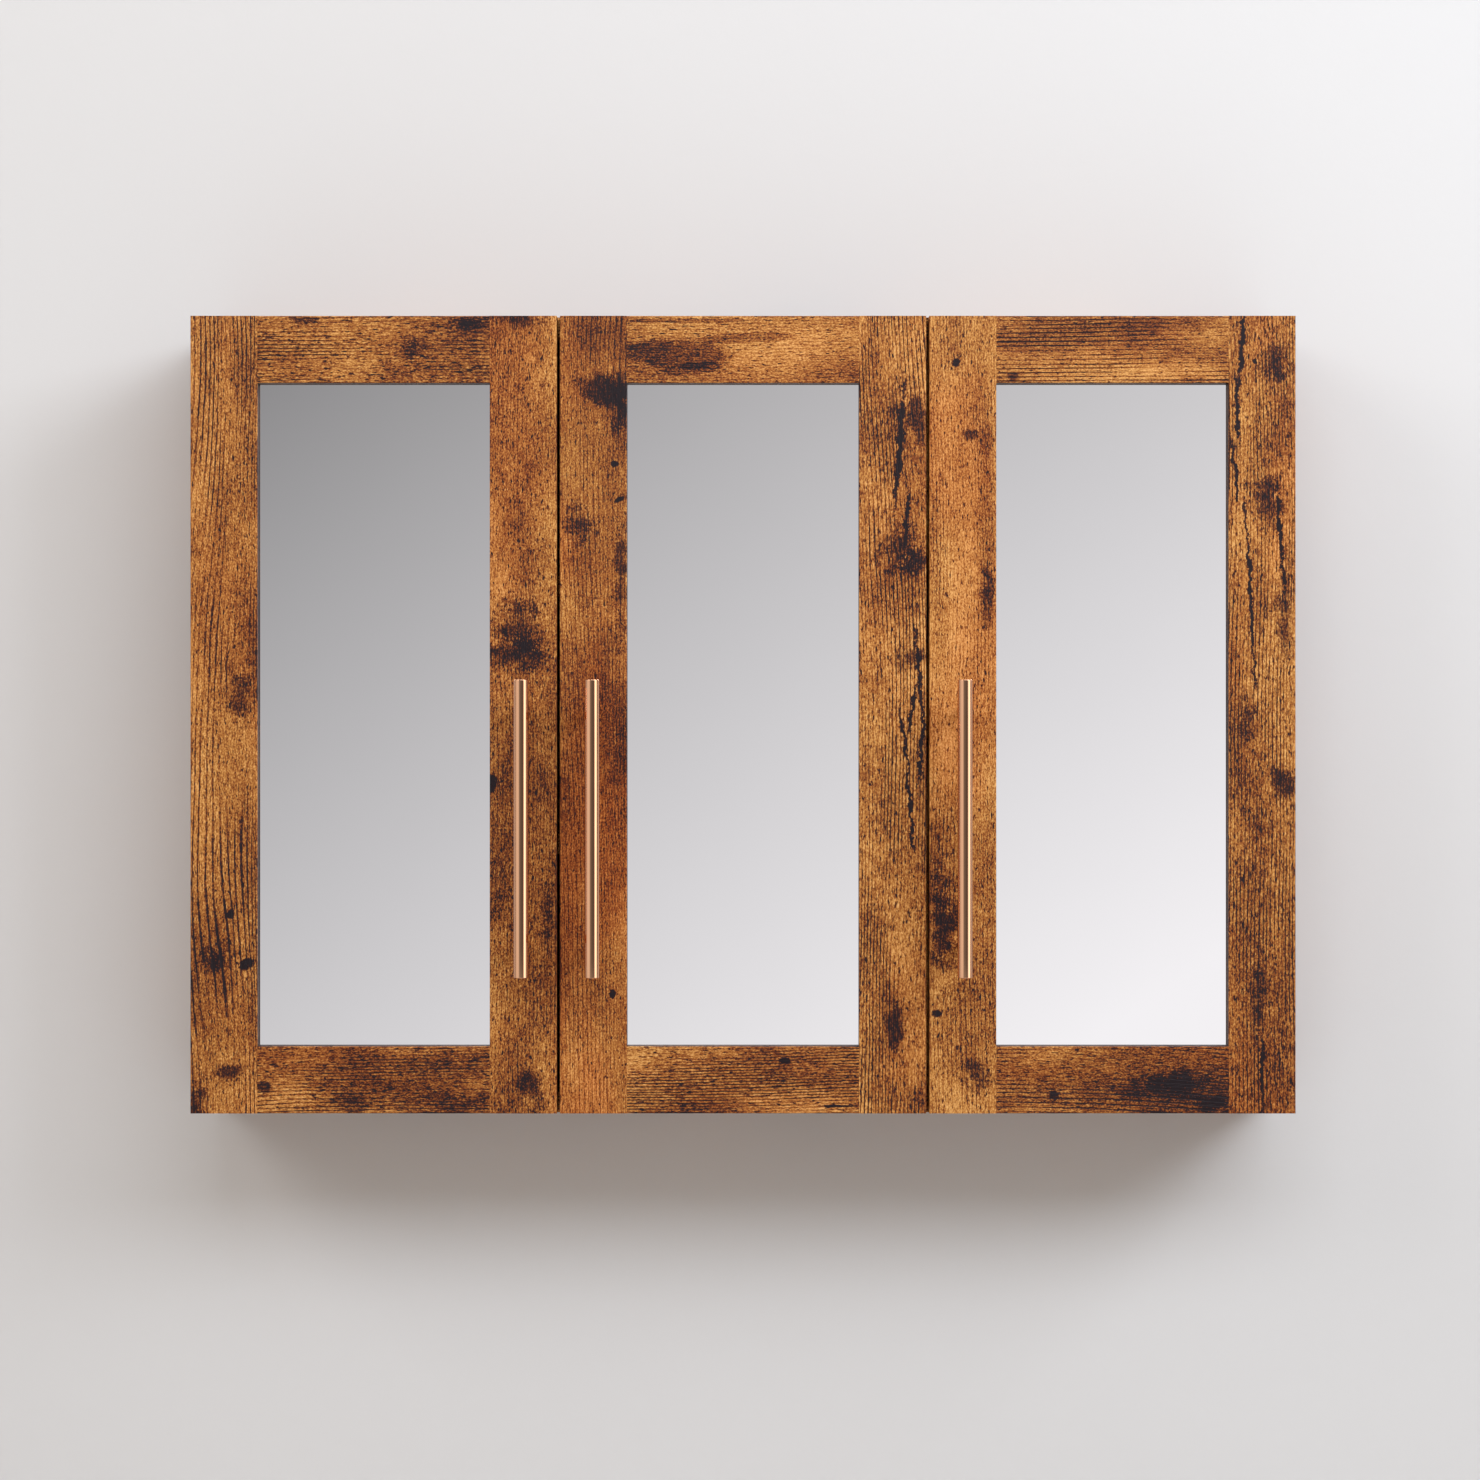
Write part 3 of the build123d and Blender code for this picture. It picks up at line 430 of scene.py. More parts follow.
# Planed softwood and hardboard: light and dark colour, and how the streaks are stretched
plainWoods = {
    "rail_pine": ((0.60, 0.41, 0.22), (0.38, 0.22, 0.10), (5, 90, 120)),
    "dowel_beech": ((0.62, 0.42, 0.25), (0.45, 0.27, 0.14), (90, 90, 90)),
    "back_hardboard": ((0.34, 0.20, 0.11), (0.22, 0.12, 0.06), (60, 60, 60)),
    "mirror_backing": ((0.30, 0.20, 0.13), (0.19, 0.12, 0.08), (80, 80, 80)),
}
plainLook = {"fuzzScale": 900, "fuzz": 0.35, "streak": 0.8, "darkAt": 0.3, "lightAt": 0.75,
             "roughness": 0.75, "depth": 0.0002}


def makePlainWood(name):
    light, dark, stretch = plainWoods[name]
    material, tree, shader, coords = newMaterial(name)
    streak = noiseNode(tree, vectorNode(tree, "MULTIPLY", coords, stretch), detail=4, roughness=0.6)
    fuzz = noiseNode(tree, coords, scale=plainLook["fuzzScale"], detail=2)
    mixed = mathNode(tree, "MULTIPLY_ADD", fuzz, plainLook["fuzz"],
                     mathNode(tree, "MULTIPLY", streak, plainLook["streak"]))
    colour = rampNode(tree, mixed, [(plainLook["darkAt"], dark), (plainLook["lightAt"], light)])
    tree.links.new(colour, shader.inputs["Base Color"])
    shader.inputs["Roughness"].default_value = plainLook["roughness"]
    bumpInto(tree, shader, mixed, plainLook["depth"])
    return material


def dress(nodeName, material):
    nodes[nodeName].data.materials.clear()
    nodes[nodeName].data.materials.append(material)


railPine = makePlainWood("rail_pine")
backingBoard = makePlainWood("mirror_backing")
dress("hanging_rail", railPine)
dress("lower_rail", railPine)
dress("dowels", makePlainWood("dowel_beech"))
dress("back_panel", makePlainWood("back_hardboard"))
for door in doorNames:
    dress(door + "_backing_board", backingBoard)


# Metals: colour, roughness, how the brushing is stretched, and its depth
metals = {
    "copper_plating": ((0.88, 0.47, 0.27), 0.085, (300, 300, 25), 0.000001),
    "nickel_plating": ((0.66, 0.65, 0.62), 0.24, (500, 500, 60), 0.00001),
    "zinc_casting": ((0.52, 0.52, 0.51), 0.42, (700, 700, 700), 0.00003),
}
metalLook = {"cloudScale": 55, "cloud": 0.48, "brush": 0.40, "darkShare": 0.86, "smoother": 0.8,
             "rougher": 1.25}


def makeMetal(name):
    colour, roughness, grainStretch, grainDepth = metals[name]
    material, tree, shader, coords = newMaterial(name)
    brush = noiseNode(tree, vectorNode(tree, "MULTIPLY", coords, grainStretch), detail=3)
    cloud = noiseNode(tree, coords, scale=metalLook["cloudScale"], detail=2)
    shade = mathNode(tree, "MULTIPLY_ADD", cloud, metalLook["cloud"],
                     mathNode(tree, "MULTIPLY", brush, metalLook["brush"]), clamp=True)
    dark = [part * metalLook["darkShare"] for part in colour]
    tree.links.new(mixColour(tree, shade, (*dark, 1), (*colour, 1)), shader.inputs["Base Color"])
    rough = rangeNode(tree, brush, 0.3, 0.7, roughness * metalLook["smoother"],
                      roughness * metalLook["rougher"])
    tree.links.new(rough, shader.inputs["Roughness"])
    shader.inputs["Metallic"].default_value = 1.0
    bumpInto(tree, shader, brush, grainDepth)
    return material


copperPlate, nickel, zincCast = [makeMetal(name) for name in metals]
for nodeName in ("hinge_arms", "hinge_plates", "cam_bolts"):
    dress(nodeName, nickel)
for door in doorNames:
    dress(door + "_hinge_cups", nickel)
    dress(door + "_hinge_links", nickel)
print("box, rails and hinges finished")


# Mirror panes, with ground edges, silvered behind the front face and painted on the back
pane = {"edgeGrind": 0.0007, "silver": (0.950, 0.928, 0.950), "greenEdge": (0.30, 0.46, 0.40),
        "backPaint": (0.16, 0.17, 0.18)}


def makeSilver():
    material, tree, shader, coords = newMaterial("mirror_silver")
    haze = noiseNode(tree, coords, scale=14, detail=3)
    tinted = mixColour(tree, haze, (*pane["silver"], 1), (*[part * 0.985 for part in pane["silver"]], 1))
    tree.links.new(tinted, shader.inputs["Base Color"])
    shader.inputs["Roughness"].default_value = 0.0
    shader.inputs["Metallic"].default_value = 1.0
    return material


def makeTinted(name, colour, roughness):
    material, tree, shader, coords = newMaterial(name)
    cloud = noiseNode(tree, coords, scale=240, detail=3)
    tinted = mixColour(tree, cloud, (*[part * 0.8 for part in colour], 1), (*colour, 1))
    tree.links.new(tinted, shader.inputs["Base Color"])
    shader.inputs["Roughness"].default_value = roughness
    return material


silver = makeSilver()
groundEdge = makeTinted("mirror_ground_edge", pane["greenEdge"], 0.35)
backPaint = makeTinted("mirror_back_paint", pane["backPaint"], 0.6)


def placedMesh(name, mesh, materials, body, replaced):
    # a finished piece that replaces one CAD node
    piece = bpy.data.objects.new(name, mesh)
    bpy.context.scene.collection.objects.link(piece)
    for material in materials:
        if material.name not in [m.name for m in mesh.materials if m]:
            mesh.materials.append(material)
    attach(piece, body)
    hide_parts(replaced)


def makePane(door):
    low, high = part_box(door + "_mirror")
    shape = bmesh.new()
    bmesh.ops.create_cube(shape, size=1)
    size, middle = high - low, (high + low) / 2
    for vertex in shape.verts:
        vertex.co = Vector([vertex.co[i] * size[i] for i in range(3)]) + middle
    bmesh.ops.bevel(shape, geom=shape.edges[:], offset=pane["edgeGrind"], segments=2, profile=0.5,
                    affect="EDGES")
    for face in shape.faces:
        facing = face.normal
        face.material_index = 0 if facing.y < -0.95 else 2 if facing.y > 0.95 else 1
    mesh = bpy.data.meshes.new(door + "_pane")
    shape.to_mesh(mesh)
    shape.free()
    placedMesh(door + "_pane", mesh, [silver, groundEdge, backPaint], door, door + "_mirror")


for door in doorNames:
    makePane(door)
print("mirror panes finished")


# Lathe: profile points (radius, distance along) turned about an axis through a place
def lathe(shape, profile, origin, axis, segments=96):
    toAxis = Vector((0, 0, 1)).rotation_difference(Vector(axis)).to_matrix().to_4x4()
    place = Matrix.Translation(origin) @ toAxis
    rings = []
    for radius, along in profile:
        if radius < 1e-7:
            rings.append([shape.verts.new(place @ Vector((0, 0, along)))])
            continue
        rings.append([shape.verts.new(place @ Vector((radius * math.cos(a), radius * math.sin(a), along)))
                      for a in [2 * math.pi * i / segments for i in range(segments)]])
    for first, second in zip(rings, rings[1:]):
        for i in range(segments):
            j = (i + 1) % segments
            corners = [first[i % len(first)], first[j % len(first)], second[j % len(second)],
                       second[i % len(second)]]
            shape.faces.new(list(dict.fromkeys(corners)))


def shadedMesh(shape, name, smoothAngle=35):
    bmesh.ops.recalc_face_normals(shape, faces=shape.faces[:])
    for face in shape.faces:
        face.smooth = True
    for edge in shape.edges:
        edge.smooth = not (len(edge.link_faces) == 2 and edge.calc_face_angle() > math.radians(smoothAngle))
    mesh = bpy.data.meshes.new(name)
    shape.to_mesh(mesh)
    shape.free()
    return mesh


# Bar handles: a turned bar with softly broken ends, on two necked posts
handle = {"endBreak": 0.0005, "neckRadius": 0.0036, "footHeight": 0.0035, "neckRound": 0.0012,
          "footRadius": 0.0045, "seatDepth": 0.003}


def makeHandle(door):
    low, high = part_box(door + "_handle_bar")
    postLow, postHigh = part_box(door + "_handle_posts")
    radius = (high.x - low.x) / 2
    axis = Vector(((low.x + high.x) / 2, low.y + radius, low.z))
    length, rounding = high.z - low.z, handle["endBreak"]
    corner = [(radius - rounding * (1 - math.sin(a)), rounding * (1 - math.cos(a)))
              for a in [math.pi / 2 * i / 4 for i in range(5)]]
    profile = [(0, 0)] + corner + [(r, length - z) for r, z in reversed(corner)] + [(0, length)]
    shape = bmesh.new()
    lathe(shape, profile, axis, (0, 0, 1))
    placedMesh(door + "_bar", shadedMesh(shape, door + "_bar"), [copperPlate], door,
               door + "_handle_bar")
    foot, rise = handle["footRadius"], handle["footHeight"]
    neck, step = handle["neckRadius"], handle["neckRound"]
    reach = postHigh.y - (axis.y + radius - handle["seatDepth"])
    posts = [(0, 0), (foot, 0), (foot, rise - step), (foot - 0.3 * step, rise - 0.3 * step),
             (neck, rise + step), (neck, reach), (0, reach)]
    shape = bmesh.new()
    for z in (postLow.z + foot, postHigh.z - foot):
        lathe(shape, posts, Vector((axis.x, postHigh.y, z)), (0, -1, 0), 48)
    placedMesh(door + "_posts", shadedMesh(shape, door + "_posts"), [copperPlate], door,
               door + "_handle_posts")


for door in doorNames:
    makeHandle(door)
print("handles finished")


# Geometry Nodes: one tree puts a turned fitting on every point of a mesh
def makeFittingTree(name):
    tree = bpy.data.node_groups.new(name, "GeometryNodeTree")
    tree.interface.new_socket("Geometry", in_out="INPUT", socket_type="NodeSocketGeometry")
    for label in ("Head radius", "Head height", "Shank radius", "Shank length", "Recess width",
                  "Recess length", "Recess depth", "Dome"):
        tree.interface.new_socket(label, in_out="INPUT", socket_type="NodeSocketFloat")
    tree.interface.new_socket("Facing", in_out="INPUT", socket_type="NodeSocketVector")
    tree.interface.new_socket("Recesses", in_out="INPUT", socket_type="NodeSocketInt")
    tree.interface.new_socket("Seed", in_out="INPUT", socket_type="NodeSocketInt")
    tree.interface.new_socket("Finish", in_out="INPUT", socket_type="NodeSocketMaterial")
    tree.interface.new_socket("Geometry", in_out="OUTPUT", socket_type="NodeSocketGeometry")
    start = addNode(tree, "NodeGroupInput").outputs

    def half(value):
        return mathNode(tree, "MULTIPLY", value, 0.5)

    def raised(height):
        return addNode(tree, "ShaderNodeCombineXYZ", {"Z": height}).outputs[0]

    def moved(shape, offset):
        return addNode(tree, "GeometryNodeTransform", {"Geometry": shape, "Translation": offset}).outputs[0]

    # the head's foot lies at z 0 and the head rises towards +z
    foot = addNode(tree, "GeometryNodeMeshCylinder", {
        "Vertices": 32, "Radius": start["Head radius"], "Depth": half(start["Head height"])}).outputs[0]
    foot = moved(foot, raised(mathNode(tree, "MULTIPLY", start["Head height"], 0.25)))
    crown = addNode(tree, "GeometryNodeMeshCone", {
        "Vertices": 32, "Radius Top": mathNode(tree, "MULTIPLY", start["Head radius"], start["Dome"]),
        "Radius Bottom": start["Head radius"], "Depth": half(start["Head height"])}).outputs[0]
    crown = moved(crown, raised(half(start["Head height"])))
    shank = addNode(tree, "GeometryNodeMeshCylinder", {
        "Vertices": 24, "Radius": start["Shank radius"], "Depth": start["Shank length"]}).outputs[0]
    shank = moved(shank, raised(mathNode(tree, "MULTIPLY", start["Shank length"], -0.5)))
    # crossed recess, cut once from the head before it is repeated
    blade = addNode(tree, "GeometryNodeMeshCube", {"Size": addNode(tree, "ShaderNodeCombineXYZ", {
        "X": start["Recess length"], "Y": start["Recess width"],
        "Z": mathNode(tree, "MULTIPLY", start["Recess depth"], 2.0)}).outputs[0]}).outputs[0]
    bladePoints = addNode(tree, "GeometryNodeMeshLine", {"Count": start["Recesses"], "Offset": (0, 0, 0)})
    index = addNode(tree, "GeometryNodeInputIndex").outputs[0]
    crossed = addNode(tree, "ShaderNodeCombineXYZ", {"Z": mathNode(tree, "MULTIPLY", index, math.pi / 2)})
    blades = addNode(tree, "GeometryNodeInstanceOnPoints", {
        "Points": bladePoints.outputs[0], "Instance": blade, "Rotation": crossed.outputs[0]})
    blades = addNode(tree, "GeometryNodeRealizeInstances", {0: blades.outputs[0]}).outputs[0]
    blades = moved(blades, raised(start["Head height"]))
    solid = addNode(tree, "GeometryNodeMeshBoolean", operation="UNION")
    tree.links.new(foot, solid.inputs["Mesh 2"])
    tree.links.new(crown, solid.inputs["Mesh 2"])
    cutHead = addNode(tree, "GeometryNodeMeshBoolean", operation="DIFFERENCE")
    tree.links.new(solid.outputs[0], cutHead.inputs["Mesh 1"])
    tree.links.new(blades, cutHead.inputs["Mesh 2"])
    whole = addNode(tree, "GeometryNodeJoinGeometry")
    tree.links.new(shank, whole.inputs[0])
    tree.links.new(cutHead.outputs[0], whole.inputs[0])
    # each fitting is turned by chance about its own axis, as a driver leaves it
    chance = addNode(tree, "FunctionNodeRandomValue", {"Seed": start["Seed"]}, data_type="FLOAT")
    chance.inputs[2].default_value = 0.0
    chance.inputs[3].default_value = math.pi
    spin = addNode(tree, "ShaderNodeCombineXYZ", {"Z": chance.outputs[1]}).outputs[0]
    aim = addNode(tree, "FunctionNodeAlignRotationToVector", {"Vector": start["Facing"]}, axis="Z")
    turn = addNode(tree, "FunctionNodeRotateRotation", rotation_space="LOCAL")
    tree.links.new(aim.outputs[0], turn.inputs[0])
    tree.links.new(addNode(tree, "FunctionNodeEulerToRotation", {0: spin}).outputs[0], turn.inputs[1])
    copies = addNode(tree, "GeometryNodeInstanceOnPoints", {
        "Points": start["Geometry"], "Instance": whole.outputs[0], "Rotation": turn.outputs[0]})
    real = addNode(tree, "GeometryNodeRealizeInstances", {0: copies.outputs[0]})
    finish = addNode(tree, "GeometryNodeSetMaterial", {"Geometry": real.outputs[0],
                                                       "Material": start["Finish"]})
    end = addNode(tree, "NodeGroupOutput")
    tree.links.new(finish.outputs[0], end.inputs[0])
    return tree


fittingTree = makeFittingTree("turnedFittings")
fittings = {
    "cupScrew": {"Head radius": 0.0034, "Head height": 0.0015, "Shank radius": 0.00175,
                 "Shank length": 0.01, "Recess width": 0.0008, "Recess length": 0.0038,
                 "Recess depth": 0.001, "Dome": 0.72, "Recesses": 2},
    "handleScrew": {"Head radius": 0.004, "Head height": 0.0022, "Shank radius": 0.002,
                    "Shank length": 0.027, "Recess width": 0.0009, "Recess length": 0.0046,
                    "Recess depth": 0.0014, "Dome": 0.78, "Recesses": 2},
    "bumper": {"Head radius": 0.004, "Head height": 0.0018, "Shank radius": 0.001,
               "Shank length": 0.0001, "Recess width": 0.0001, "Recess length": 0.0001,
               "Recess depth": 0.0001, "Dome": 0.66, "Recesses": 1},
}


def solidBoxes(nodeName):
    # the corners of each separate solid of a CAD node, read from a copy
    shape = bmesh.new()
    shape.from_mesh(nodes[nodeName].data)
    bmesh.ops.remove_doubles(shape, verts=shape.verts[:], dist=1e-6)
    left, boxes = set(shape.verts), []
    while left:
        island, edge = set(), [left.pop()]
        while edge:
            vertex = edge.pop()
            island.add(vertex)
            for link in vertex.link_edges:
                other = link.other_vert(vertex)
                if other in left:
                    left.discard(other)
                    edge.append(other)
        points = [v.co.copy() for v in island]
        low = Vector([min(p[i] for p in points) for i in range(3)])
        high = Vector([max(p[i] for p in points) for i in range(3)])
        boxes.append((low, high))
    shape.free()
    return sorted(boxes, key=lambda pair: tuple(round(v, 5) for v in pair[0]))


def makeFittings(name, kind, places, facing, material, seed):
    # a mesh of points, the tree as a modifier, and the result as a plain mesh
    mesh = bpy.data.meshes.new(name + "_places")
    mesh.from_pydata([tuple(place) for place in places], [], [])
    carrier = bpy.data.objects.new(name + "_carrier", mesh)
    bpy.context.scene.collection.objects.link(carrier)
    modifier = carrier.modifiers.new("fittings", "NODES")
    modifier.node_group = fittingTree
    values = dict(fittings[kind], Facing=facing, Seed=seed, Finish=material)
    for item in fittingTree.interface.items_tree:
        if item.item_type == "SOCKET" and item.in_out == "INPUT" and item.name in values:
            modifier[item.identifier] = values[item.name]
    evaluated = carrier.evaluated_get(bpy.context.evaluated_depsgraph_get())
    result = bpy.data.meshes.new_from_object(evaluated)
    carrier.modifiers.remove(modifier)
    bpy.data.objects.remove(carrier)
    result.name = name
    return result


def smoothByAngle(mesh, degrees=32):
    shape = bmesh.new()
    shape.from_mesh(mesh)
    bmesh.ops.remove_doubles(shape, verts=shape.verts[:], dist=1e-7)
    for face in shape.faces:
        face.smooth = True
    for edge in shape.edges:
        edge.smooth = not (len(edge.link_faces) == 2 and edge.calc_face_angle() > math.radians(degrees))
    shape.to_mesh(mesh)
    shape.free()
    return mesh


def headSeats(nodeName, kind):
    # the middle of each screw's seat: where its head, flush with the rear, meets what it holds
    seats = []
    for low, high in solidBoxes(nodeName):
        if abs(high.z - low.z - 2 * kind["Head radius"]) < sameSize:
            seats.append(Vector(((low.x + high.x) / 2, high.y - kind["Head height"], (low.z + high.z) / 2)))
    return seats


sameSize = 0.4 * mm
screwSets = [("cup_screws", "cup_screw_set", "cupScrew", nickel, 0),
             ("handle_screws", "handle_screw_set", "handleScrew", zincCast, 10)]
for number, door in enumerate(doorNames):
    for cadName, setName, kind, material, seed in screwSets:
        seats = headSeats(door + "_" + cadName, fittings[kind])
        mesh = makeFittings(door + "_" + setName, kind, seats, (0, 1, 0), material, seed + number)
        placedMesh(door + "_" + setName, smoothByAngle(mesh), [material], door, door + "_" + cadName)
print("door screws finished")

bumperPlaces = [Vector(((low.x + high.x) / 2, high.y, (low.z + high.z) / 2))
                for low, high in solidBoxes("door_bumpers")]
clearPad = makeTinted("clear_pad", (0.78, 0.78, 0.74), 0.35)
bumperMesh = smoothByAngle(makeFittings("stop_pads", "bumper", bumperPlaces, (0, -1, 0), clearPad, 30), 50)
placedMesh("stop_pads", bumperMesh, [clearPad], "cabinet", "door_bumpers")

for nodeName in ("plate_screws", "shelf_pins"):
    dress(nodeName, nickel)
dress("cam_locks", zincCast)
for door in doorNames:
    dress(door + "_mirror_clips", zincCast)
print("fittings finished")


# Camera: straight on, as the photograph was taken. Its lens is worked out for a 1480 by 1480 pixel frame
photo = {"pixels": 1480, "pixelsPerMetre": 1231.0, "distance": 2.9, "doorsLeft": 190.3, "doorsTop": 315.8}


def makeCamera():
    span = photo["pixels"] / photo["pixelsPerMetre"]
    left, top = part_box("left_door_hinge_stile")[0].x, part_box("left_door_hinge_stile")[1].z
    middle = photo["pixels"] / 2
    x = left + (middle - photo["doorsLeft"]) / photo["pixelsPerMetre"]
    z = top - (middle - photo["doorsTop"]) / photo["pixelsPerMetre"]
    data = bpy.data.cameras.new("studioCamera")
    data.sensor_width = 36
    data.lens = data.sensor_width * photo["distance"] / span
    data.clip_end = 50
    camera = bpy.data.objects.new("studioCamera", data)
    camera.location = (x, frontY - photo["distance"], z)
    camera.rotation_euler = (math.pi / 2, 0, 0)
    bpy.context.scene.collection.objects.link(camera)
    bpy.context.scene.camera = camera


makeCamera()


# Stage: a pale wall behind the cabinet, open where the cabinet covers it, and a pale floor
stage = {"wallWidth": 7.0, "wallHeight": 4.6, "holeGap": 0.0005, "floorDrop": 1.30, "floorRadius": 4.0,
         "fadeFrom": 0.55, "fadeTo": 0.98, "wallCloud": 1.6, "floorCloud": 1.2,
         "wallColour": (0.650, 0.663, 0.688), "floorColour": (0.66, 0.645, 0.63)}


def seenFromFront(tree, shader):
    # the stage is clear from behind, so that nothing hides the cabinet's back
    output = tree.nodes["Material Output"]
    facing = addNode(tree, "ShaderNodeNewGeometry").outputs["Backfacing"]
    clear = addNode(tree, "ShaderNodeBsdfTransparent").outputs[0]
    mixed = addNode(tree, "ShaderNodeMixShader", {0: facing, 1: shader, 2: clear}).outputs[0]
    tree.links.new(mixed, output.inputs["Surface"])


def makeWall():
    low, high = cadBounds
    gap = stage["holeGap"]
    middle = (low + high) / 2
    halfWidth, halfHeight = stage["wallWidth"] / 2, stage["wallHeight"] / 2

    def corners(left, right, bottom, top):
        return [(left, high.y, bottom), (right, high.y, bottom), (right, high.y, top), (left, high.y, top)]

    outer = corners(middle.x - halfWidth, middle.x + halfWidth, low.z - stage["floorDrop"],
                    middle.z + halfHeight)
    inner = corners(low.x - gap, high.x + gap, low.z - gap, high.z + gap)
    faces = [(i, (i + 1) % 4, 4 + (i + 1) % 4, 4 + i) for i in range(4)]
    mesh = bpy.data.meshes.new("wall")
    mesh.from_pydata(outer + inner, [], faces)
    wall = bpy.data.objects.new("wall", mesh)
    bpy.context.scene.collection.objects.link(wall)
    material, tree, shader, coords = newMaterial("wall_paint")
    cloud = noiseNode(tree, coords, scale=stage["wallCloud"], detail=3)
    dark = [part * 0.97 for part in stage["wallColour"]]
    paint = mixColour(tree, cloud, (*dark, 1), (*stage["wallColour"], 1))
    tree.links.new(paint, shader.inputs["Base Color"])
    shader.inputs["Roughness"].default_value = 0.9
    bumpInto(tree, shader, noiseNode(tree, coords, scale=90, detail=3), 0.0004, 0.3)
    seenFromFront(tree, shader.outputs[0])
    mesh.materials.append(material)


def makeFloor():
    low, high = cadBounds
    middle = (low + high) / 2
    z = low.z - stage["floorDrop"]
    radius, sides = stage["floorRadius"], 64
    verts = [(middle.x + radius * math.cos(a), middle.y + radius * math.sin(a), z)
             for a in [2 * math.pi * i / sides for i in range(sides)]]
    mesh = bpy.data.meshes.new("floor")
    mesh.from_pydata(verts, [], [tuple(range(sides))])
    floor = bpy.data.objects.new("floor", mesh)
    bpy.context.scene.collection.objects.link(floor)
    material, tree, shader, coords = newMaterial("floor_paint")
    cloud = noiseNode(tree, coords, scale=stage["floorCloud"], detail=2)
    dark = [part * 0.98 for part in stage["floorColour"]]
    paint = mixColour(tree, cloud, (*dark, 1), (*stage["floorColour"], 1))
    tree.links.new(paint, shader.inputs["Base Color"])
    shader.inputs["Roughness"].default_value = 0.85
    # the floor's edge fades out
    offset = vectorNode(tree, "SUBTRACT", coords, (middle.x, middle.y, z))
    distance = addNode(tree, "ShaderNodeVectorMath", {0: offset}, operation="LENGTH").outputs["Value"]
    fade = rangeNode(tree, distance, radius * stage["fadeFrom"], radius * stage["fadeTo"])
    clear = addNode(tree, "ShaderNodeBsdfTransparent").outputs[0]
    faded = addNode(tree, "ShaderNodeMixShader", {0: fade, 1: shader.outputs[0], 2: clear}).outputs[0]
    seenFromFront(tree, faded)
    mesh.materials.append(material)


makeWall()
makeFloor()

# Light: a wide key above, a lamp at each side, and the room. Mirrors and metal see soft gradients
light = {"roomStrength": 0.52, "roomColour": (1.0, 0.86, 0.73), "backgroundColour": (0.80, 0.79, 0.78),
         "keyPlace": (0.45, -2.50, 1.35), "keyWidth": 2.4, "keyHeight": 1.1, "keyPower": 36.0,
         "keyColour": (0.91, 0.955, 1.0),
         "rightPlace": (2.6, -2.1, 1.50), "leftPlace": (-2.4, -2.1, 1.50), "sideSize": 1.6,
         "rightPower": 75.0, "leftPower": 31.0, "leftColour": (1.0, 0.95, 0.90),
         # what mirrors see: brightness straight ahead, and its change to the right and upward
         "ahead": 0.655, "toRight": 1.35, "upward": -1.95, "dimmest": 0.22, "brightest": 0.95,
         # and further round, between these bearings and slopes, one plain tone
         "viewEdge": 12.0, "plainFrom": 26.0, "steepFrom": 0.22, "steepFull": 0.34, "plainGlow": 0.62}
# what polished round metal sees round about: degrees from straight ahead, brightness
softboxes = [(-180, 0.20), (-110, 0.14), (-92, 0.45), (-78, 0.80), (-40, 0.95), (-30, 0.60), (-18, 0.22),
             (22, 0.12), (34, 0.10), (44, 0.55), (53, 2.30), (76, 2.30), (86, 0.50), (98, 0.14), (180, 0.20)]


def addArea(name, place, width, height, power, colour):
    data = bpy.data.lights.new(name, "AREA")
    data.shape = "RECTANGLE"
    data.size, data.size_y = width, height
    data.energy = power
    data.color = colour
    lamp = bpy.data.objects.new(name, data)
    lamp.location = place
    target = (cabinetLow + cabinetHigh) / 2
    lamp.rotation_euler = (target - Vector(place)).to_track_quat("-Z", "Y").to_euler()
    bpy.context.scene.collection.objects.link(lamp)


addArea("keyLight", light["keyPlace"], light["keyWidth"], light["keyHeight"], light["keyPower"],
        light["keyColour"])
addArea("rightLight", light["rightPlace"], light["sideSize"], light["sideSize"], light["rightPower"],
        light["keyColour"])
addArea("leftLight", light["leftPlace"], light["sideSize"], light["sideSize"], light["leftPower"],
        light["leftColour"])


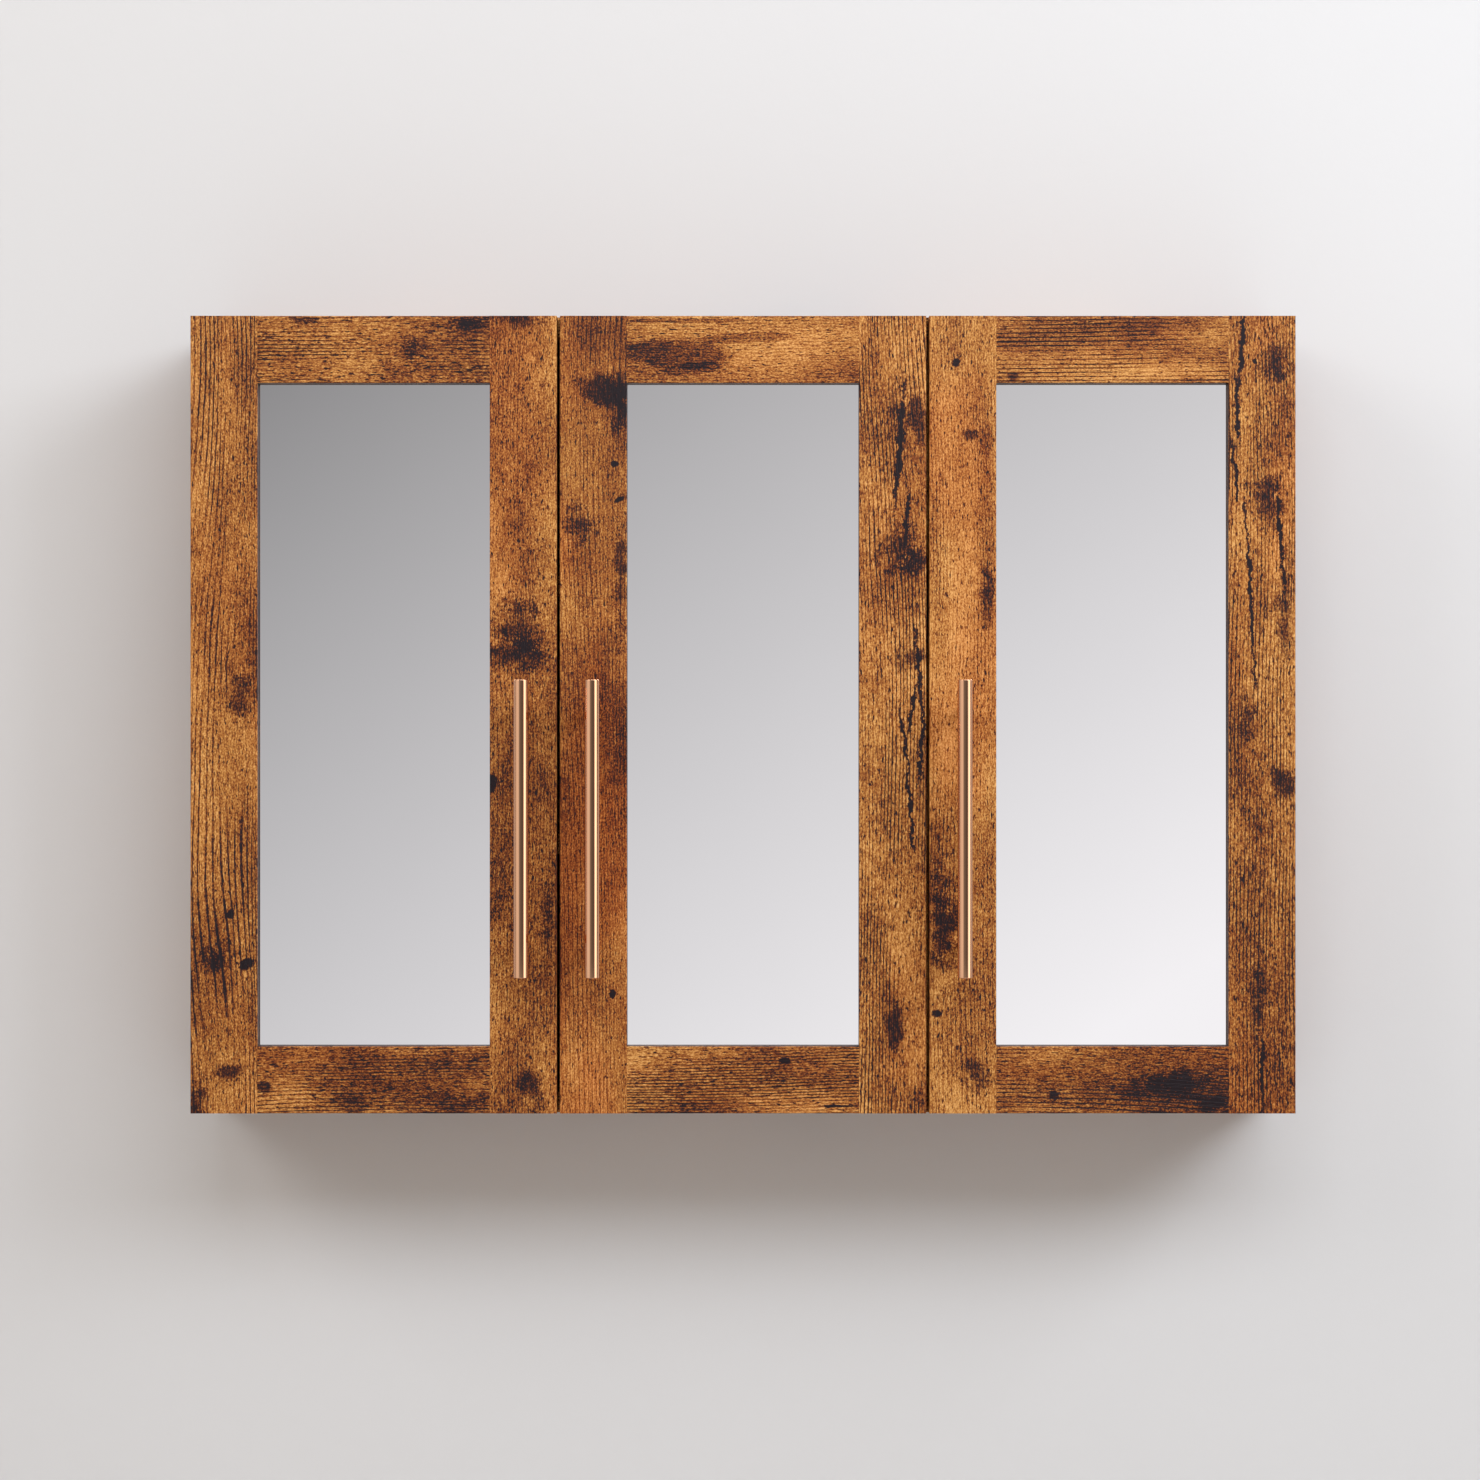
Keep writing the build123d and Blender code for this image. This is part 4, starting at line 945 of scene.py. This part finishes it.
def makeWorld():
    world = bpy.data.worlds.new("room")
    world.use_nodes = True
    bpy.context.scene.world = world
    tree = world.node_tree
    tree.nodes.clear()
    rays = addNode(tree, "ShaderNodeLightPath").outputs
    direction = addNode(tree, "ShaderNodeTexCoord").outputs["Generated"]
    split = addNode(tree, "ShaderNodeSeparateXYZ", {0: direction}).outputs
    bearing = mathNode(tree, "ARCTAN2", split[0], mathNode(tree, "MULTIPLY", split[1], -1.0))
    steep = rangeNode(tree, mathNode(tree, "ABSOLUTE", split[2]), light["steepFrom"], light["steepFull"])

    def towardsPlain(glow, share):
        fromPlain = mathNode(tree, "SUBTRACT", light["plainGlow"], glow)
        return mathNode(tree, "MULTIPLY_ADD", fromPlain, share, glow)

    mirrorGlow = mathNode(tree, "MULTIPLY_ADD", split[0], light["toRight"], light["ahead"])
    mirrorGlow = mathNode(tree, "MULTIPLY_ADD", split[2], light["upward"], mirrorGlow)
    mirrorGlow = mathNode(tree, "MINIMUM", mirrorGlow, light["brightest"])
    mirrorGlow = mathNode(tree, "MAXIMUM", mirrorGlow, light["dimmest"])
    aside = rangeNode(tree, mathNode(tree, "ABSOLUTE", bearing), math.radians(light["viewEdge"]),
                      math.radians(light["plainFrom"]))
    mirrorGlow = towardsPlain(mirrorGlow, mathNode(tree, "MAXIMUM", aside, steep))
    side = mathNode(tree, "MULTIPLY_ADD", bearing, 0.5 / math.pi, 0.5)
    fullGlow = max(value for degrees, value in softboxes)
    stops = [(degrees / 360 + 0.5, (value / fullGlow,) * 3) for degrees, value in softboxes]
    metalGlow = towardsPlain(mathNode(tree, "MULTIPLY", rampNode(tree, side, stops), fullGlow), steep)
    # only a mirror gives a ray without any spread
    fromMetal = mathNode(tree, "SUBTRACT", mirrorGlow, metalGlow)
    glow = mathNode(tree, "MULTIPLY_ADD", fromMetal, rays["Is Singular Ray"], metalGlow)
    grey = addNode(tree, "ShaderNodeCombineColor", {0: glow, 1: glow, 2: glow})
    room = addNode(tree, "ShaderNodeBackground", {"Color": (*light["roomColour"], 1),
                                                  "Strength": light["roomStrength"]}).outputs[0]
    seen = addNode(tree, "ShaderNodeBackground", {"Color": (*light["backgroundColour"], 1)}).outputs[0]
    gloss = addNode(tree, "ShaderNodeBackground", {"Color": grey.outputs[0]}).outputs[0]
    mixed = addNode(tree, "ShaderNodeMixShader", {0: rays["Is Glossy Ray"], 1: room, 2: gloss}).outputs[0]
    isSeen = mathNode(tree, "MAXIMUM", rays["Is Camera Ray"], rays["Is Transmission Ray"])
    mixed = addNode(tree, "ShaderNodeMixShader", {0: isSeen, 1: mixed, 2: seen}).outputs[0]
    output = addNode(tree, "ShaderNodeOutputWorld")
    tree.links.new(mixed, output.inputs[0])


makeWorld()
bpy.context.scene.view_settings.view_transform = "Standard"
print("camera, stage and light set")
